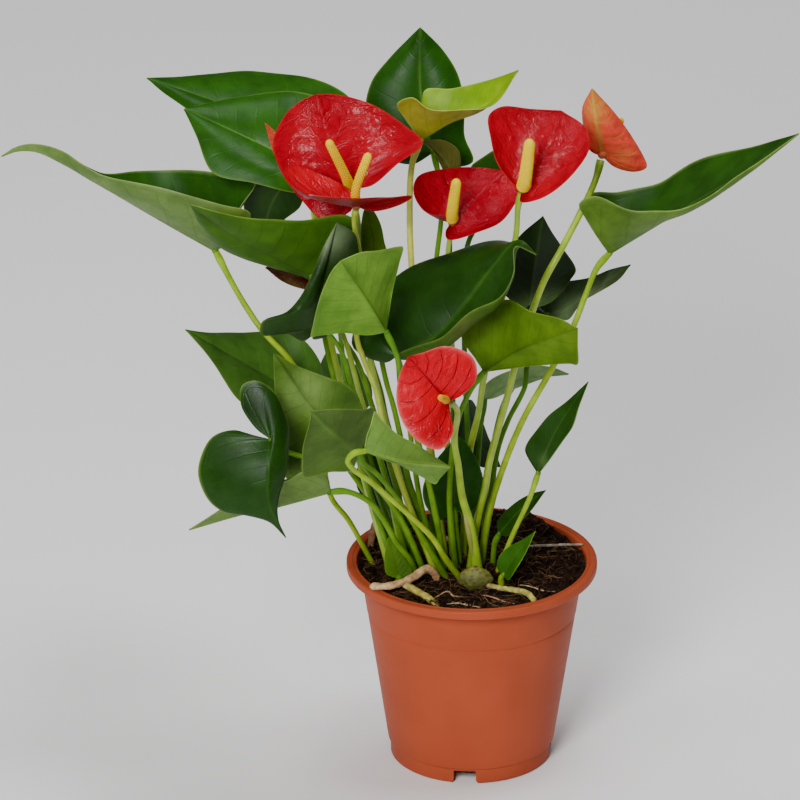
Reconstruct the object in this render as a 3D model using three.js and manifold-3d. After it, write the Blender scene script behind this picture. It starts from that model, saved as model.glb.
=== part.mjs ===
// A potted anthurium: a plastic nursery pot with a rolled rim and a notched foot, soil with
// a low mound at the crown, heart-shaped leaves on long stalks, and red blooms, each a spathe
// with a spadix. Millimetres, +Z up, the front towards -Y. The pot stands on z = 0 and its
// axis is the Z axis.
import * as THREE from 'three';
import { mergeVertices } from 'three/addons/utils/BufferGeometryUtils.js';
import Module from 'manifold-3d';

const wasm = await Module();
wasm.setup();

// ---- driving dimensions -------------------------------------------------------------------

const potHeight = 101.5;
const rimRadius = 60.5;
const rimDrop = 4.4;          // how far the rolled rim hangs down outside
const rimWidth = 5.2;
const footRadius = 39.1;
const wallFlare = 0.15;       // growth of the wall's radius per millimetre of height
const wallThickness = 1.1;
const potSides = 28;
const footHeight = 8.2;       // the foot ends in a small step
const stackLine = 76;         // faint step where nested pots stop
const floorUnderside = 7.2;
const floorThickness = 1.5;
const restDiscRadius = 14;    // flat pad in the middle of the base
const notchWidth = 10.7;
const notchHeight = 6.6;
const notchTurn = -5;         // degrees from the front
const notchCount = 4;
const drainCount = 6;
const drainRadius = 2.6;
const drainCircle = 26;

const soilLevel = 98;         // at the wall
const moundHeight = 4;
const moundCentre = [-8, -4];
const moundSpread = 26;
const heapCentre = [27, 47];    // soil heaped up against the back of the rim
const heapHeights = [3.5, 4];   // all along the back, and more at its centre
const heapSpreads = [46, 17, 14];  // the two widths along x and the one along y
const clearance = 0.3;        // gap between pieces that touch
const weldLength = 0.06;
const sunk = 9;               // how far the stalks stand in their holes
const holeTop = 9;            // the holes are straight from this far above the soil
const holeSpare = 1;

const leafThickness = 0.7;
const spatheThickness = 0.8;
const stalkGirth = [1.2, 1.6];  // radius at the blade and at the soil
const stalkSides = 5;
const stalkSteps = 8;
const marginSteps = 7;        // rows along each margin of a blade
const ribSteps = 2;           // columns from the rib out to the margin
const turn = Math.PI / 180;

// ---- colours ------------------------------------------------------------------------------

const tints = {
  deep: 0x1f4a12, mid: 0x2f6a1c, fresh: 0x5c9a2a, lime: 0x8fae2c, olive: 0x6f7f28,
  grey: 0x6b8a4c, pale: 0x74a23a, brown: 0x5a5a22,
  red: 0xc8141c, salmon: 0xd8553f, maroon: 0x5a1016, stem: 0x8fb437,
  yellow: 0xf0c41c, cream: 0xd9a23a, terracotta: 0xb7542f, soil: 0x2c1a12,
  root: 0xc99a76, youngRoot: 0xb9b04a, twig: 0x8a7f6c,
};

// ---- leaves -------------------------------------------------------------------------------
// Each leaf is given as it grows, in [x, y, z]. The rib runs from the joint with the stalk to
// the tip. The left and right margins start behind the joint, go round the lobe and end just
// before the tip, seen from the upper side with the tip up. The stalk runs from the joint down
// to the soil. An arch above 0 lifts a half of the blade towards its upper side.

const leaves = {
  leafBackHigh: {
    rib: [[-72, 38, 301], [-115, 58, 312], [-156, 72, 322]],
    left: [[-61, 26, 294], [-74, 22, 290], [-100, 28, 298], [-135, 54, 312], [-148, 66, 317]],
    right: [[-56, 58, 305], [-59, 70, 313], [-77, 88, 315], [-105, 96, 316], [-138, 84, 318]],
    stem: [
      [-61, 36, 263], [-53, 20, 218], [-49, 14, 202], [-44, 12, 185], [-41, 10, 170],
      [-29, 8, 129], [-23, 6, 101],
    ],
    tint: 'mid',
    arch: [3, 3],
  },
  leafUpperLeft: {
    rib: [[-75, 6, 300], [-102, 12, 313], [-137, 20, 327]],
    left: [[-71, 2, 293], [-85, -6, 295], [-105, -6, 300], [-123, -2, 304], [-131, 10, 318]],
    right: [[-60, 26, 303], [-64, 34, 322], [-82, 34, 330], [-97, 36, 329], [-121, 30, 327]],
    stem: [
      [-74, 10, 274], [-69, 4, 241], [-62, -6, 221], [-55, -8, 209], [-48, -8, 186],
      [-36, -5, 140], [-27, -3, 100],
    ],
    tint: 'mid',
    arch: [4, 4],
  },
  leafShaded: {
    rib: [[-87, 18, 294], [-96, 22, 277], [-100, 26, 257]],
    left: [[-81, 18, 287], [-82, 20, 277], [-90, 22, 269]],
    right: [[-97, 22, 291], [-108, 24, 285], [-108, 26, 270]],
    stem: [
      [-76, 24, 284], [-69, 26, 270], [-65, 22, 233], [-59, 14, 179], [-44, 10, 128], [-33, 7, 99],
    ],
    tint: 'deep',
  },
  leafFarLeft: {
    rib: [
      [-122, -10, 267], [-142, -14, 281], [-163, -18, 296], [-182, -22, 310], [-194, -26, 319],
      [-205, -30, 326], [-214, -32, 327], [-221, -34, 325],
    ],
    left: [
      [-110, -18, 280], [-105, -28, 294], [-118, -36, 301], [-142, -42, 311], [-161, -41, 315],
      [-175, -38, 318], [-184, -35, 322], [-191, -34, 327], [-199, -33, 330], [-208, -33, 331],
      [-215, -33, 329],
    ],
    right: [
      [-110, 4, 284], [-103, 14, 293], [-124, 22, 294], [-152, 20, 296], [-168, 6, 300],
      [-177, -4, 305], [-186, -14, 314], [-193, -20, 322], [-203, -26, 327], [-213, -31, 328],
    ],
    stem: [
      [-115, -12, 253], [-108, -15, 241], [-99, -20, 229], [-86, -24, 215], [-74, -22, 182],
      [-68, -13, 141], [-59, -6, 124], [-48, 2, 98],
    ],
    tint: 'grey',
    arch: [-3, -3],
    girth: [1.5, 1.3],
  },
  leafPaleLeft: {
    rib: [[-76, -46, 270], [-102, -54, 287], [-118, -58, 299], [-132, -66, 314]],
    left: [
      [-64, -46, 276], [-56, -46, 283], [-55, -48, 292], [-58, -54, 303], [-81, -61, 304],
      [-109, -66, 308], [-123, -67, 312],
    ],
    right: [
      [-73, -36, 261], [-84, -30, 266], [-91, -28, 268], [-103, -30, 272], [-119, -38, 281],
      [-128, -54, 298],
    ],
    stem: [
      [-73, -42, 255], [-70, -36, 232], [-66, -28, 209], [-57, -21, 174], [-45, -14, 128],
      [-36, -12.5, 99],
    ],
    tint: 'pale',
    arch: [-3, -3],
  },
  leafFoldedLeft: {
    rib: [[-73, -66, 254], [-70, -68, 279], [-64, -66, 305]],
    left: [
      [-79, -64, 244], [-89, -72, 252], [-99, -78, 253], [-99, -80, 261], [-87, -76, 264],
      [-78, -74, 277], [-71, -70, 292], [-67, -68, 300],
    ],
    right: [
      [-75, -58, 242], [-63, -55, 246], [-54, -54, 257], [-52, -54, 271], [-54, -58, 288],
      [-56, -62, 298],
    ],
    stem: [[-67, -56, 243], [-62, -50, 232], [-57, -42, 210], [-45, -27, 169], [-30, -11, 101]],
    tint: 'deep',
    arch: [4, 2],
  },
  leafPaleFront: {
    rib: [[-41, -72, 252], [-51, -88, 277], [-62, -100, 300]],
    left: [
      [-40, -70, 258], [-38, -72, 273], [-35, -75, 287], [-33, -79, 298], [-35, -81, 299],
      [-44, -88, 300], [-53, -95, 302],
    ],
    right: [
      [-49, -76, 252], [-62, -83, 256], [-73, -90, 258], [-76, -92, 258], [-75, -93, 264],
      [-71, -97, 282], [-66, -100, 295],
    ],
    stem: [[-36, -66, 237], [-34, -58, 216], [-25, -42, 178], [-17, -27, 134], [-13, -13, 102]],
    tint: 'pale',
    arch: [2, 2],
    girth: [1.3, 1.7],
  },
  leafCentre: {
    rib: [
      [-36, -50, 230], [-19, -56, 242], [-6, -54, 256], [9, -50, 276], [21, -54, 291],
      [29, -62, 287],
    ],
    left: [
      [-42, -44, 224], [-57, -36, 229], [-53, -26, 241], [-34, -20, 260], [-11, -18, 269],
      [10, -26, 279],
    ],
    right: [
      [-34, -64, 238], [-15, -72, 250], [-2, -76, 264], [12, -76, 271], [18, -72, 282],
      [19, -64, 292],
    ],
    stem: [[-33, -44, 215], [-30, -28, 182], [-25, -14, 139], [-17, -7.5, 101]],
    tint: 'deep',
    arch: [7, -7],
  },
  leafDarkRight: {
    rib: [[27, -2, 234], [30, -6, 263], [33, -8, 284]],
    left: [[21, 2, 234], [14, 4, 241], [14, 2, 256], [22, -4, 272]],
    right: [[37, 2, 235], [47, 6, 246], [49, 6, 250], [42, 0, 265], [37, -5, 275]],
    stem: [[26, 4, 212], [22, 13, 191], [15, 15, 176], [10, 12, 154], [7, 8, 124], [5, 5, 101]],
    tint: 'deep',
  },
  leafSlimRight: {
    rib: [[36, 10, 225], [54, 8, 236], [75, 6, 253]],
    left: [[27, 14, 225], [21, 16, 229], [30, 20, 233], [42, 24, 236], [56, 20, 240], [66, 12, 248]],
    right: [[40, 4, 226], [46, -2, 228], [52, -2, 237], [60, 0, 241], [70, 3, 247]],
    stem: [
      [32, 4, 215], [26, -6, 206], [25, -8, 196], [17, -6, 177], [12, -4, 160], [9, -2, 134],
      [5, -1.5, 101],
    ],
    tint: 'deep',
  },
  leafPaleRight: {
    rib: [[5, -50, 222], [23, -66, 241], [48, -86, 260]],
    left: [[15, -56, 226], [29, -68, 233], [45, -82, 240], [48, -85, 241], [48, -87, 252]],
    right: [
      [1, -46, 227], [-6, -44, 239], [2, -46, 250], [15, -50, 259], [26, -66, 260], [40, -80, 262],
    ],
    stem: [[0, -46, 213], [-6, -40, 197], [-9, -32, 179], [-11, -22, 143], [-8, -12, 102]],
    tint: 'olive',
    arch: [2, 2],
    girth: [1.3, 1.6],
  },
  leafGreyRight: {
    rib: [[6, 6, 183], [20, 5, 193], [46, 2, 198]],
    left: [[11, 10, 182], [21, 10, 187], [35, 6, 195]],
    right: [[6, 2, 192], [14, 0, 199], [27, -1, 203], [39, 0, 202]],
    stem: [[4, 7, 166], [2, 8, 129], [1, 6.5, 101]],
    tint: 'grey',
  },
  leafLowRight: {
    rib: [[31, -40, 165], [39, -44, 188], [54, -48, 216]],
    left: [[26, -34, 171], [25, -34, 175], [30, -36, 186], [36, -40, 195], [45, -44, 205]],
    right: [[35, -46, 173], [42, -52, 187], [47, -54, 196], [50, -52, 205]],
    stem: [[27, -34, 149], [20, -24, 127], [12.5, -12, 101]],
    tint: 'mid',
    girth: [1.2, 1.3],
  },
  leafDarkLow: {
    rib: [[13, -14, 121], [23, -17, 135], [35, -20, 147]],
    left: [[12, -10, 125], [15, -10, 130], [21, -12, 137], [29, -17, 144]],
    right: [[17, -20, 123], [22, -22, 130], [28, -22, 137]],
    stem: [[11, -11, 115], [10, -6, 101]],
    tint: 'deep',
  },
  leafSmallLow: {
    rib: [[15, -28, 106], [21, -30, 117], [30, -32, 131]],
    left: [[12, -24, 108], [13, -24, 114], [17, -25, 119], [24, -29, 125]],
    right: [[17, -34, 106], [21, -36, 113], [25, -35, 120]],
    stem: [[14, -27, 104], [14, -25, 99]],
    tint: 'mid',
  },
  leafDarkBack: {
    rib: [[-41, 26, 109], [-40, 29, 130], [-39, 31, 150]],
    left: [
      [-47, 26, 110], [-49, 28, 117], [-55, 30, 124], [-56, 31, 132], [-52, 32, 142],
      [-45, 32, 148],
    ],
    right: [[-38, 24, 110], [-34, 26, 119], [-34, 28, 130], [-35, 30, 142]],
    stem: [[-39, 23, 105], [-36.5, 19.5, 99]],
    tint: 'deep',
    girth: [1.2, 1.4],
  },
  leafMidLow: {
    rib: [[-9, -15, 135], [-8, -13, 152], [-7, -10, 171]],
    left: [[-15, -20, 131], [-22, -22, 139], [-24, -22, 148], [-21, -18, 156], [-14, -12, 164]],
    right: [[-3, -12, 131], [4, -10, 137], [5, -9, 148], [1, -9, 160], [-4, -9, 168]],
    stem: [[-8, -13, 125], [-6, -6, 102]],
    tint: 'mid',
    girth: [1.3, 1.7],
  },
  leafDarkMiddle: {
    rib: [[-3, 14, 179], [2, 18, 157], [14, 22, 140]],
    left: [[0, 18, 177], [5, 22, 163], [10, 24, 150]],
    right: [[-7, 10, 174], [-10, 10, 162], [-4, 14, 149], [6, 19, 141]],
    stem: [[-4, 16, 162], [-4, 12, 138], [-4.5, 7, 101]],
    tint: 'deep',
  },
  leafMatteLeft: {
    rib: [[-82, -16, 195], [-107, -22, 213], [-136, -30, 235]],
    left: [[-86, -32, 190], [-100, -42, 196], [-111, -44, 205], [-122, -38, 220], [-130, -33, 229]],
    right: [
      [-75, -8, 194], [-72, -2, 203], [-80, 4, 214], [-94, 6, 218], [-113, -4, 222],
      [-127, -22, 230],
    ],
    stem: [[-70, -11, 170], [-58, -6.5, 150], [-46, -2, 128], [-38, 0.5, 100]],
    tint: 'deep',
    arch: [2, 2],
  },
  leafDarkLeft: {
    rib: [[-56, 30, 167], [-63, 32, 180], [-70, 34, 196]],
    left: [[-62, 30, 166], [-68, 30, 171], [-71, 32, 178], [-73, 34, 188]],
    right: [[-51, 30, 167], [-48, 32, 172], [-50, 34, 182], [-58, 35, 190], [-64, 35, 194]],
    stem: [[-51, 27, 149], [-42, 21, 123], [-29, 15, 100]],
    tint: 'deep',
  },
  leafLitLeft: {
    rib: [[-61, -50, 187], [-79, -57, 211], [-87, -60, 225], [-94, -62, 237]],
    left: [[-54, -46, 190], [-53, -46, 204], [-58, -50, 214], [-68, -53, 220], [-82, -58, 228]],
    right: [[-69, -40, 167], [-80, -43, 162], [-88, -48, 165], [-89, -54, 186], [-93, -58, 212]],
    stem: [[-54, -42, 173], [-42, -29, 149], [-31, -17, 122], [-24, -9, 101]],
    tint: 'fresh',
    arch: [2, 2],
  },
  leafGreyFront: {
    rib: [[-54, -78, 193], [-65, -90, 208], [-76, -98, 223]],
    left: [
      [-51, -76, 197], [-48, -78, 206], [-47, -82, 218], [-50, -84, 218], [-58, -91, 221],
      [-68, -96, 223],
    ],
    right: [
      [-57, -80, 185], [-68, -87, 187], [-77, -92, 187], [-80, -94, 188], [-80, -97, 202],
      [-77, -98, 216],
    ],
    stem: [[-52, -74, 186], [-46, -66, 177], [-37, -52, 159], [-25, -33, 130], [-13, -18.5, 101]],
    tint: 'grey',
    arch: [2, 2],
  },
  leafBrightFront: {
    rib: [[-51, -92, 200], [-35, -97, 197], [-18, -92, 193], [-11, -88, 190]],
    left: [[-41, -90, 194], [-34, -88, 191], [-23, -86, 183], [-18, -85, 180], [-16, -85.5, 183]],
    right: [
      [-50, -90, 207], [-48, -88, 212], [-46, -86, 218], [-44, -86, 215], [-36, -86, 206],
      [-26, -86, 200], [-19, -86, 195],
    ],
    stem: [
      [-56, -94, 200], [-59, -93, 196], [-57, -89, 190], [-48, -79, 178], [-39, -67, 164],
      [-29, -53, 148], [-19, -40, 131], [-12, -29, 114], [-5, -21, 100],
    ],
    tint: 'fresh',
    arch: [1, 1],
    girth: [1.25, 1.7],
  },
  leafHeart: {
    rib: [[-95, -90, 205], [-96, -99, 194], [-96, -103, 179], [-88, -98, 158]],
    left: [
      [-102, -86, 209], [-109, -80, 217], [-109, -76, 226], [-101, -76, 229], [-93, -78, 224],
      [-87, -82, 209], [-87, -88, 193], [-93, -94, 178], [-94, -97, 169],
    ],
    right: [
      [-103, -88, 206], [-113, -86, 208], [-123, -86, 204], [-129, -90, 189], [-125, -94, 177],
      [-118, -96, 171], [-105, -99, 170], [-96, -99, 167],
    ],
    stem: [
      [-86, -74, 191], [-72, -66, 183], [-58, -60, 176], [-48, -53, 166], [-34, -36, 139],
      [-22.5, -15.5, 100],
    ],
    tint: 'deep',
    arch: [2, 2],
  },
  leafOliveLow: {
    rib: [[-68, -66, 167], [-94, -70, 161], [-110, -74, 159], [-134, -80, 154]],
    left: [
      [-68, -70, 175], [-71, -75, 181], [-80, -78, 183], [-86, -80, 180], [-105, -82, 172],
      [-122, -82, 163],
    ],
    right: [[-72, -52, 166], [-89, -54, 168], [-107, -62, 164], [-123, -74, 159]],
    stem: [
      [-61, -63, 166], [-54, -57, 161], [-48, -49, 153], [-42, -38, 139], [-36, -28.8, 123],
      [-30, -23.2, 112], [-26.3, -15.5, 100],
    ],
    tint: 'grey',
    girth: [1.4, 1.6],
  },
  leafTop: {
    rib: [[-19, 20, 305], [-23, 30, 318], [-25, 36, 333], [-25, 42, 360]],
    left: [
      [-29, 22, 298], [-44, 26, 302], [-51, 34, 318], [-48, 40, 333], [-39, 44, 344],
      [-30, 44, 354],
    ],
    right: [[-14, 18, 299], [0, 20, 300], [-4, 26, 311], [-4, 32, 324], [-7, 38, 337], [-14, 42, 348]],
    stem: [
      [-16, 18, 292], [-15, 16, 274], [-17, 14, 255], [-20, 10, 228], [-21, 8, 182], [-20, 8, 140],
      [-17.5, 7, 101],
    ],
    tint: 'mid',
    arch: [3, 3],
  },
  leafYellowTop: {
    rib: [[-25, -6, 322], [-11, -6, 331], [5, -4, 337], [21, 2, 354]],
    left: [[-23, 4, 329], [-23, 12, 340], [-10, 16, 339], [7, 12, 345]],
    right: [
      [-29, -12, 332], [-36, -18, 345], [-29, -20, 349], [-21, -20, 343], [-4, -16, 341],
      [10, -8, 341],
    ],
    stem: [
      [-29, -4, 308], [-30, -4, 280], [-29, -4, 254], [-26, -8, 220], [-21, -4, 171],
      [-16, 0, 127], [-13, 3.5, 101],
    ],
    tint: 'lime',
    girth: [1.5, 1.9],
  },
  leafBrownTop: {
    rib: [[-7, 4.5, 294], [-14, 0.8, 309], [-24, -3.2, 320]],
    left: [[-6, 4.6, 301], [-7, 2.8, 313], [-15, -1.2, 320]],
    right: [[-13, 1, 301], [-19, -3, 315]],
    stem: [[-10, 2, 280], [-11, 2, 262], [-10, 4, 225], [-9, 8, 166], [-8, 10, 128], [-8, 12, 101]],
    tint: 'brown',
  },
  leafBehindBlooms: {
    rib: [[15, 22, 287], [30, 26, 294], [48, 30, 302]],
    left: [[8, 22, 290], [-1, 20, 297], [5, 24, 301], [22, 32, 307], [38, 32, 307]],
    right: [[22, 16, 286], [32, 18, 288], [41, 24, 293]],
    stem: [[6, 14, 275], [-2, 6, 265], [-4, 3, 236], [-3, 5, 183], [-1, 12, 138], [-1, 12.5, 100]],
    tint: 'mid',
  },
  leafFarRight: {
    rib: [[65, 8, 258], [85, 4, 273], [107, 0, 289], [130, -4, 306], [153, -8, 326]],
    left: [[60, 24, 266], [56, 30, 279], [71, 36, 278], [89, 38, 282], [107, 34, 295], [129, 20, 307]],
    right: [
      [60, 2, 268], [52, -6, 284], [50, -12, 292], [57, -18, 298], [71, -20, 293], [85, -20, 291],
      [100, -18, 292], [124, -14, 306],
    ],
    stem: [
      [59, 2, 253], [53, -8, 242], [48, -13, 230], [38, -17, 210], [24, -16, 182], [15, -12, 156],
      [8, -9, 129], [4.5, -7, 101],
    ],
    tint: 'mid',
    arch: [-3, -3],
    girth: [1.4, 1.8],
  },
  leafYoungOlive: {
    rib: [[-47, -20, 265], [-48, -22, 280], [-51, -22, 294]],
    left: [[-41, -17, 268], [-42, -17, 275], [-44, -19, 285], [-48, -21, 293]],
    right: [[-52, -23, 271], [-53, -25, 282], [-52, -24, 292]],
    stem: [
      [-45, -16, 252], [-45, -15, 239], [-44, -16, 218], [-41, -18, 202], [-38, -18, 191],
      [-35, -18, 177], [-29, -10, 142], [-13.5, -3.5, 102],
    ],
    tint: 'olive',
    girth: [1.2, 2.0],
  },
  leafSheath: {
    rib: [[-35, -22.5, 102], [-37, -20.5, 111], [-40, -19, 122]],
    left: [[-41, -23, 104], [-42, -21, 112], [-41, -20, 119]],
    right: [[-29, -22, 104], [-33, -20, 112], [-37, -18.8, 120]],
    stem: [[-35, -22.3, 101], [-34.8, -21.8, 99]],
    tint: 'fresh',
    girth: [1.6, 1.6],
  },
};

// ---- blooms -------------------------------------------------------------------------------
// A bloom is given like a leaf, with its spadix from the same joint and the spadix's radius
// at its base and its end.

const blooms = {
  bloomBig: {
    rib: [[-58, -34, 309], [-67, -27, 330], [-74, -16, 349]],
    left: [
      [-57, -38, 300], [-63, -40, 297], [-71, -41, 296], [-80, -36, 303], [-90, -32, 316],
      [-94, -27, 329], [-88, -21, 341], [-81, -17, 346],
    ],
    right: [
      [-48, -38, 312], [-36, -36, 322], [-24, -32, 331], [-33, -24, 337], [-48, -16, 344],
      [-64, -14, 348],
    ],
    stem: [
      [-55, -28, 294], [-53, -14, 269], [-51, -9, 241], [-50, -8, 216], [-47, -8, 201],
      [-42, -10, 181], [-33, -7, 141], [-20, -2.5, 101],
    ],
    spadix: [[-60, -46, 320], [-68, -56, 342]],
    size: [2.4, 2.0],
    tint: 'red',
    arch: [-5, -5],
    girth: [1.25, 1.7],
  },
  bloomLower: {
    rib: [[-55, -56, 309], [-66, -68, 316], [-78, -80, 325]],
    left: [[-48, -60, 308], [-35, -62, 312], [-29, -66, 318], [-42, -75, 321], [-61, -83, 324]],
    right: [
      [-50, -50, 308], [-57, -46, 312], [-65, -45, 317], [-78, -44, 323], [-88, -50, 326],
      [-85, -66, 324],
    ],
    stem: [
      [-56, -52, 298], [-54, -48, 283], [-54, -45, 257], [-55, -46, 238], [-52, -43, 226],
      [-46, -36, 206], [-43, -32, 189], [-33, -20, 147], [-18, -13, 101],
    ],
    spadix: [[-55, -62, 320], [-49, -64, 339]],
    size: [2.2, 2.0],
    tint: 'red',
    arch: [0, -4],
    girth: [1.3, 1.8],
  },
  bloomHidden: {
    rib: [[-79, -12, 311], [-87, -12, 322], [-98, -12, 333]],
    left: [[-78, -14, 304], [-85, -14, 303], [-94, -13, 318]],
    right: [[-71, -11, 319], [-77, -10, 327], [-93, -11, 327]],
    stem: [
      [-77, -14, 300], [-75, -10, 282], [-69, -13, 248], [-60, -16, 221], [-53, -15, 192],
      [-40, -11, 143], [-33, -5.5, 100],
    ],
    spadix: [[-80, -17, 317], [-85, -18, 325]],
    size: [1.6, 1.4],
    tint: 'salmon',
    girth: [1.2, 1.6],
  },
  bloomCentre: {
    rib: [[-10, -16, 284], [2, -8, 294], [15, 4, 302]],
    left: [
      [-14, -21, 289], [-23, -24, 293], [-28, -20, 300], [-26, -10, 305], [-11, 0, 305],
      [3, 6, 303],
    ],
    right: [
      [-13, -22, 282], [-12, -27, 280], [1, -27, 283], [12, -21, 286], [19, -12, 291],
      [22, -4, 296],
    ],
    stem: [
      [-11, -13, 275], [-12, -11, 265], [-10, -8, 230], [-12, -3, 176], [-11, -1, 133],
      [-9, 0.5, 101],
    ],
    spadix: [[-10, -22, 292], [-8, -28, 311]],
    size: [2.8, 2.3],
    tint: 'red',
    arch: [-4, -4],
    girth: [1.25, 1.7],
  },
  bloomRight: {
    rib: [[23, -26, 305], [34, -22, 323], [41, -14, 340]],
    left: [
      [18, -28, 309], [11, -27, 319], [8, -24, 330], [7, -18, 339], [13, -14, 342], [27, -12, 340],
    ],
    right: [[22, -34, 302], [32, -38, 306], [46, -36, 317], [54, -28, 327], [52, -20, 334]],
    stem: [
      [21, -24, 296], [20, -20, 279], [16, -20, 259], [11, -16, 229], [5, -13, 201], [3, -10, 184],
      [-1, 0, 159], [-3, 4, 131], [-4, 2.5, 102],
    ],
    spadix: [[24, -34, 314], [26, -40, 336]],
    size: [3.3, 2.5],
    tint: 'red',
    arch: [-4, -4],
    girth: [1.4, 1.9],
  },
  bloomBackRight: {
    rib: [[61, 12, 307], [58, 10, 324], [56, 14, 340]],
    left: [[67, 14, 300], [78, 20, 295], [83, 24, 296], [76, 24, 310], [67, 20, 325]],
    right: [[55, 14, 309], [53, 18, 313], [52, 20, 327]],
    stem: [
      [58, 8, 296], [52, 0, 285], [41, -16, 269], [34, -20, 257], [28, -22, 241], [20, -22, 213],
      [17, -21, 199], [12, -19, 178], [8, -20, 162], [6, -19, 148], [2, -14, 126], [-1, -9, 101],
    ],
    spadix: [[64, 20, 309], [71, 26, 320]],
    size: [1.9, 1.6],
    tint: 'salmon',
    arch: [-2, -2],
    girth: [1.6, 2],
  },
  bloomFront: {
    rib: [[-13, -92, 226], [-22, -95, 239], [-31, -94, 249]],
    left: [
      [-13, -98, 221], [-10, -104, 215], [-16, -108, 208], [-28, -108, 214], [-36, -102, 229],
      [-35, -97, 241],
    ],
    right: [[-6, -93, 229], [1, -89, 236], [-1, -85, 245], [-13, -84, 250], [-25, -90, 249]],
    stem: [
      [-8, -80, 216], [-9, -62, 192], [-7, -47, 172], [-5, -34, 150], [-1, -25, 131],
      [3, -15.5, 101],
    ],
    spadix: [[-14, -104, 232], [-16, -118, 239]],
    size: [1.9, 1.5],
    tint: 'red',
    arch: [2, 2],
    girth: [1.35, 2.7],
  },
  bloomDark: {
    rib: [[-76, -22, 258], [-86, -26, 261], [-98, -28, 266]],
    left: [[-73, -26, 254], [-82, -32, 257], [-90, -33, 261]],
    right: [[-73, -16, 262], [-84, -14, 265], [-93, -20, 265]],
    stem: [[-71, -20, 246], [-67, -17, 221], [-61, -12, 191], [-54, -8, 157], [-39, -7, 98]],
    spadix: [[-79, -24, 263], [-85, -26, 265]],
    size: [1.2, 1.0],
    tint: 'maroon',
    fused: true,
  },
};

// ---- solids -------------------------------------------------------------------------------

const vector = (p) => new THREE.Vector3(...p);
const spline = (points) => new THREE.CatmullRomCurve3(points.map(vector));

// A closed skin through rings of equal length, with a point at each end.
function skin(rings, first, last) {
  const sides = rings[0].length;
  const points = [first, ...rings.flat(), last];
  const at = (ring, side) => 1 + ring * sides + (side % sides);
  const faces = [];
  for (let side = 0; side < sides; side++) {
    faces.push(0, at(0, side + 1), at(0, side));
    for (let ring = 0; ring + 1 < rings.length; ring++) {
      faces.push(at(ring, side), at(ring, side + 1), at(ring + 1, side));
      faces.push(at(ring, side + 1), at(ring + 1, side + 1), at(ring + 1, side));
    }
    faces.push(at(rings.length - 1, side), at(rings.length - 1, side + 1), points.length - 1);
  }
  return solidFrom(points, faces);
}

// Rings about the Z axis through a profile of [radius, height] that starts and ends on it.
function revolve(profile, sides) {
  const rings = profile.slice(1, -1).map(([radius, z]) =>
    Array.from({ length: sides }, (_, k) => {
      const angle = (2 * Math.PI * k) / sides;
      return new THREE.Vector3(radius * Math.cos(angle), radius * Math.sin(angle), z);
    }));
  return skin(rings, new THREE.Vector3(0, 0, profile[0][1]),
    new THREE.Vector3(0, 0, profile.at(-1)[1]));
}

// A rod along a curve. radiusAt(along, side) gives its radius at 0 to 1 of its length.
function rod(points, radiusAt, sides = stalkSides, steps = stalkSteps) {
  const path = spline(points);
  const frames = path.computeFrenetFrames(steps, false);
  const rings = [];
  for (let step = 0; step <= steps; step++) {
    const centre = path.getPointAt(step / steps);
    rings.push(Array.from({ length: sides }, (_, side) => {
      const angle = (-2 * Math.PI * side) / sides;
      const radius = radiusAt(step / steps, side, step);
      return centre.clone()
        .addScaledVector(frames.normals[step], -radius * Math.cos(angle))
        .addScaledVector(frames.binormals[step], radius * Math.sin(angle));
    }));
  }
  return skin(rings, path.getPointAt(0), path.getPointAt(1));
}

function solidFrom(points, faces) {
  const geometry = new THREE.BufferGeometry();
  geometry.setAttribute('position',
    new THREE.Float32BufferAttribute(points.flatMap((p) => [p.x, p.y, p.z]), 3));
  geometry.setIndex(faces);
  return solidOf(geometry);
}

function solidOf(geometry) {
  geometry.deleteAttribute('normal');
  geometry.deleteAttribute('uv');
  const welded = mergeVertices(geometry, 1e-4);
  return new wasm.Manifold(new wasm.Mesh({
    numProp: 3,
    vertProperties: new Float32Array(welded.attributes.position.array),
    triVerts: new Uint32Array(welded.index.array),
  }));
}

// The geometry of a solid, with points closer together than the weld length made one.
function geometryOf(solid) {
  const { numProp, vertProperties, triVerts } = solid.getMesh();
  const positions = [];
  for (let k = 0; k < vertProperties.length; k += numProp) {
    positions.push(...vertProperties.slice(k, k + 3));
  }
  const point = (k) => new THREE.Vector3().fromArray(positions, 3 * k);
  const stands = Array.from({ length: positions.length / 3 }, (_, k) => k);
  const find = (k) => (stands[k] === k ? k : find(stands[k]));
  const corners = (k) => [...triVerts.slice(k, k + 3)].map(find);
  for (let k = 0; k < triVerts.length; k += 3) {
    for (let side = 0; side < 3; side++) {
      const [a, b] = [triVerts[k + side], triVerts[k + ((side + 1) % 3)]];
      if (point(a).distanceTo(point(b)) < weldLength) stands[find(b)] = find(a);
    }
  }
  // A face without area goes, and so do two faces back to back.
  const faces = new Map();
  for (let k = 0; k < triVerts.length; k += 3) {
    const face = corners(k);
    if (new Set(face).size < 3) continue;
    const key = face.toSorted((a, b) => a - b).join();
    if (faces.has(key)) faces.delete(key);
    else faces.set(key, face);
  }
  const geometry = new THREE.BufferGeometry();
  geometry.setAttribute('position', new THREE.Float32BufferAttribute(positions, 3));
  geometry.setIndex([...faces.values()].flat());
  return geometry;
}

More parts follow.
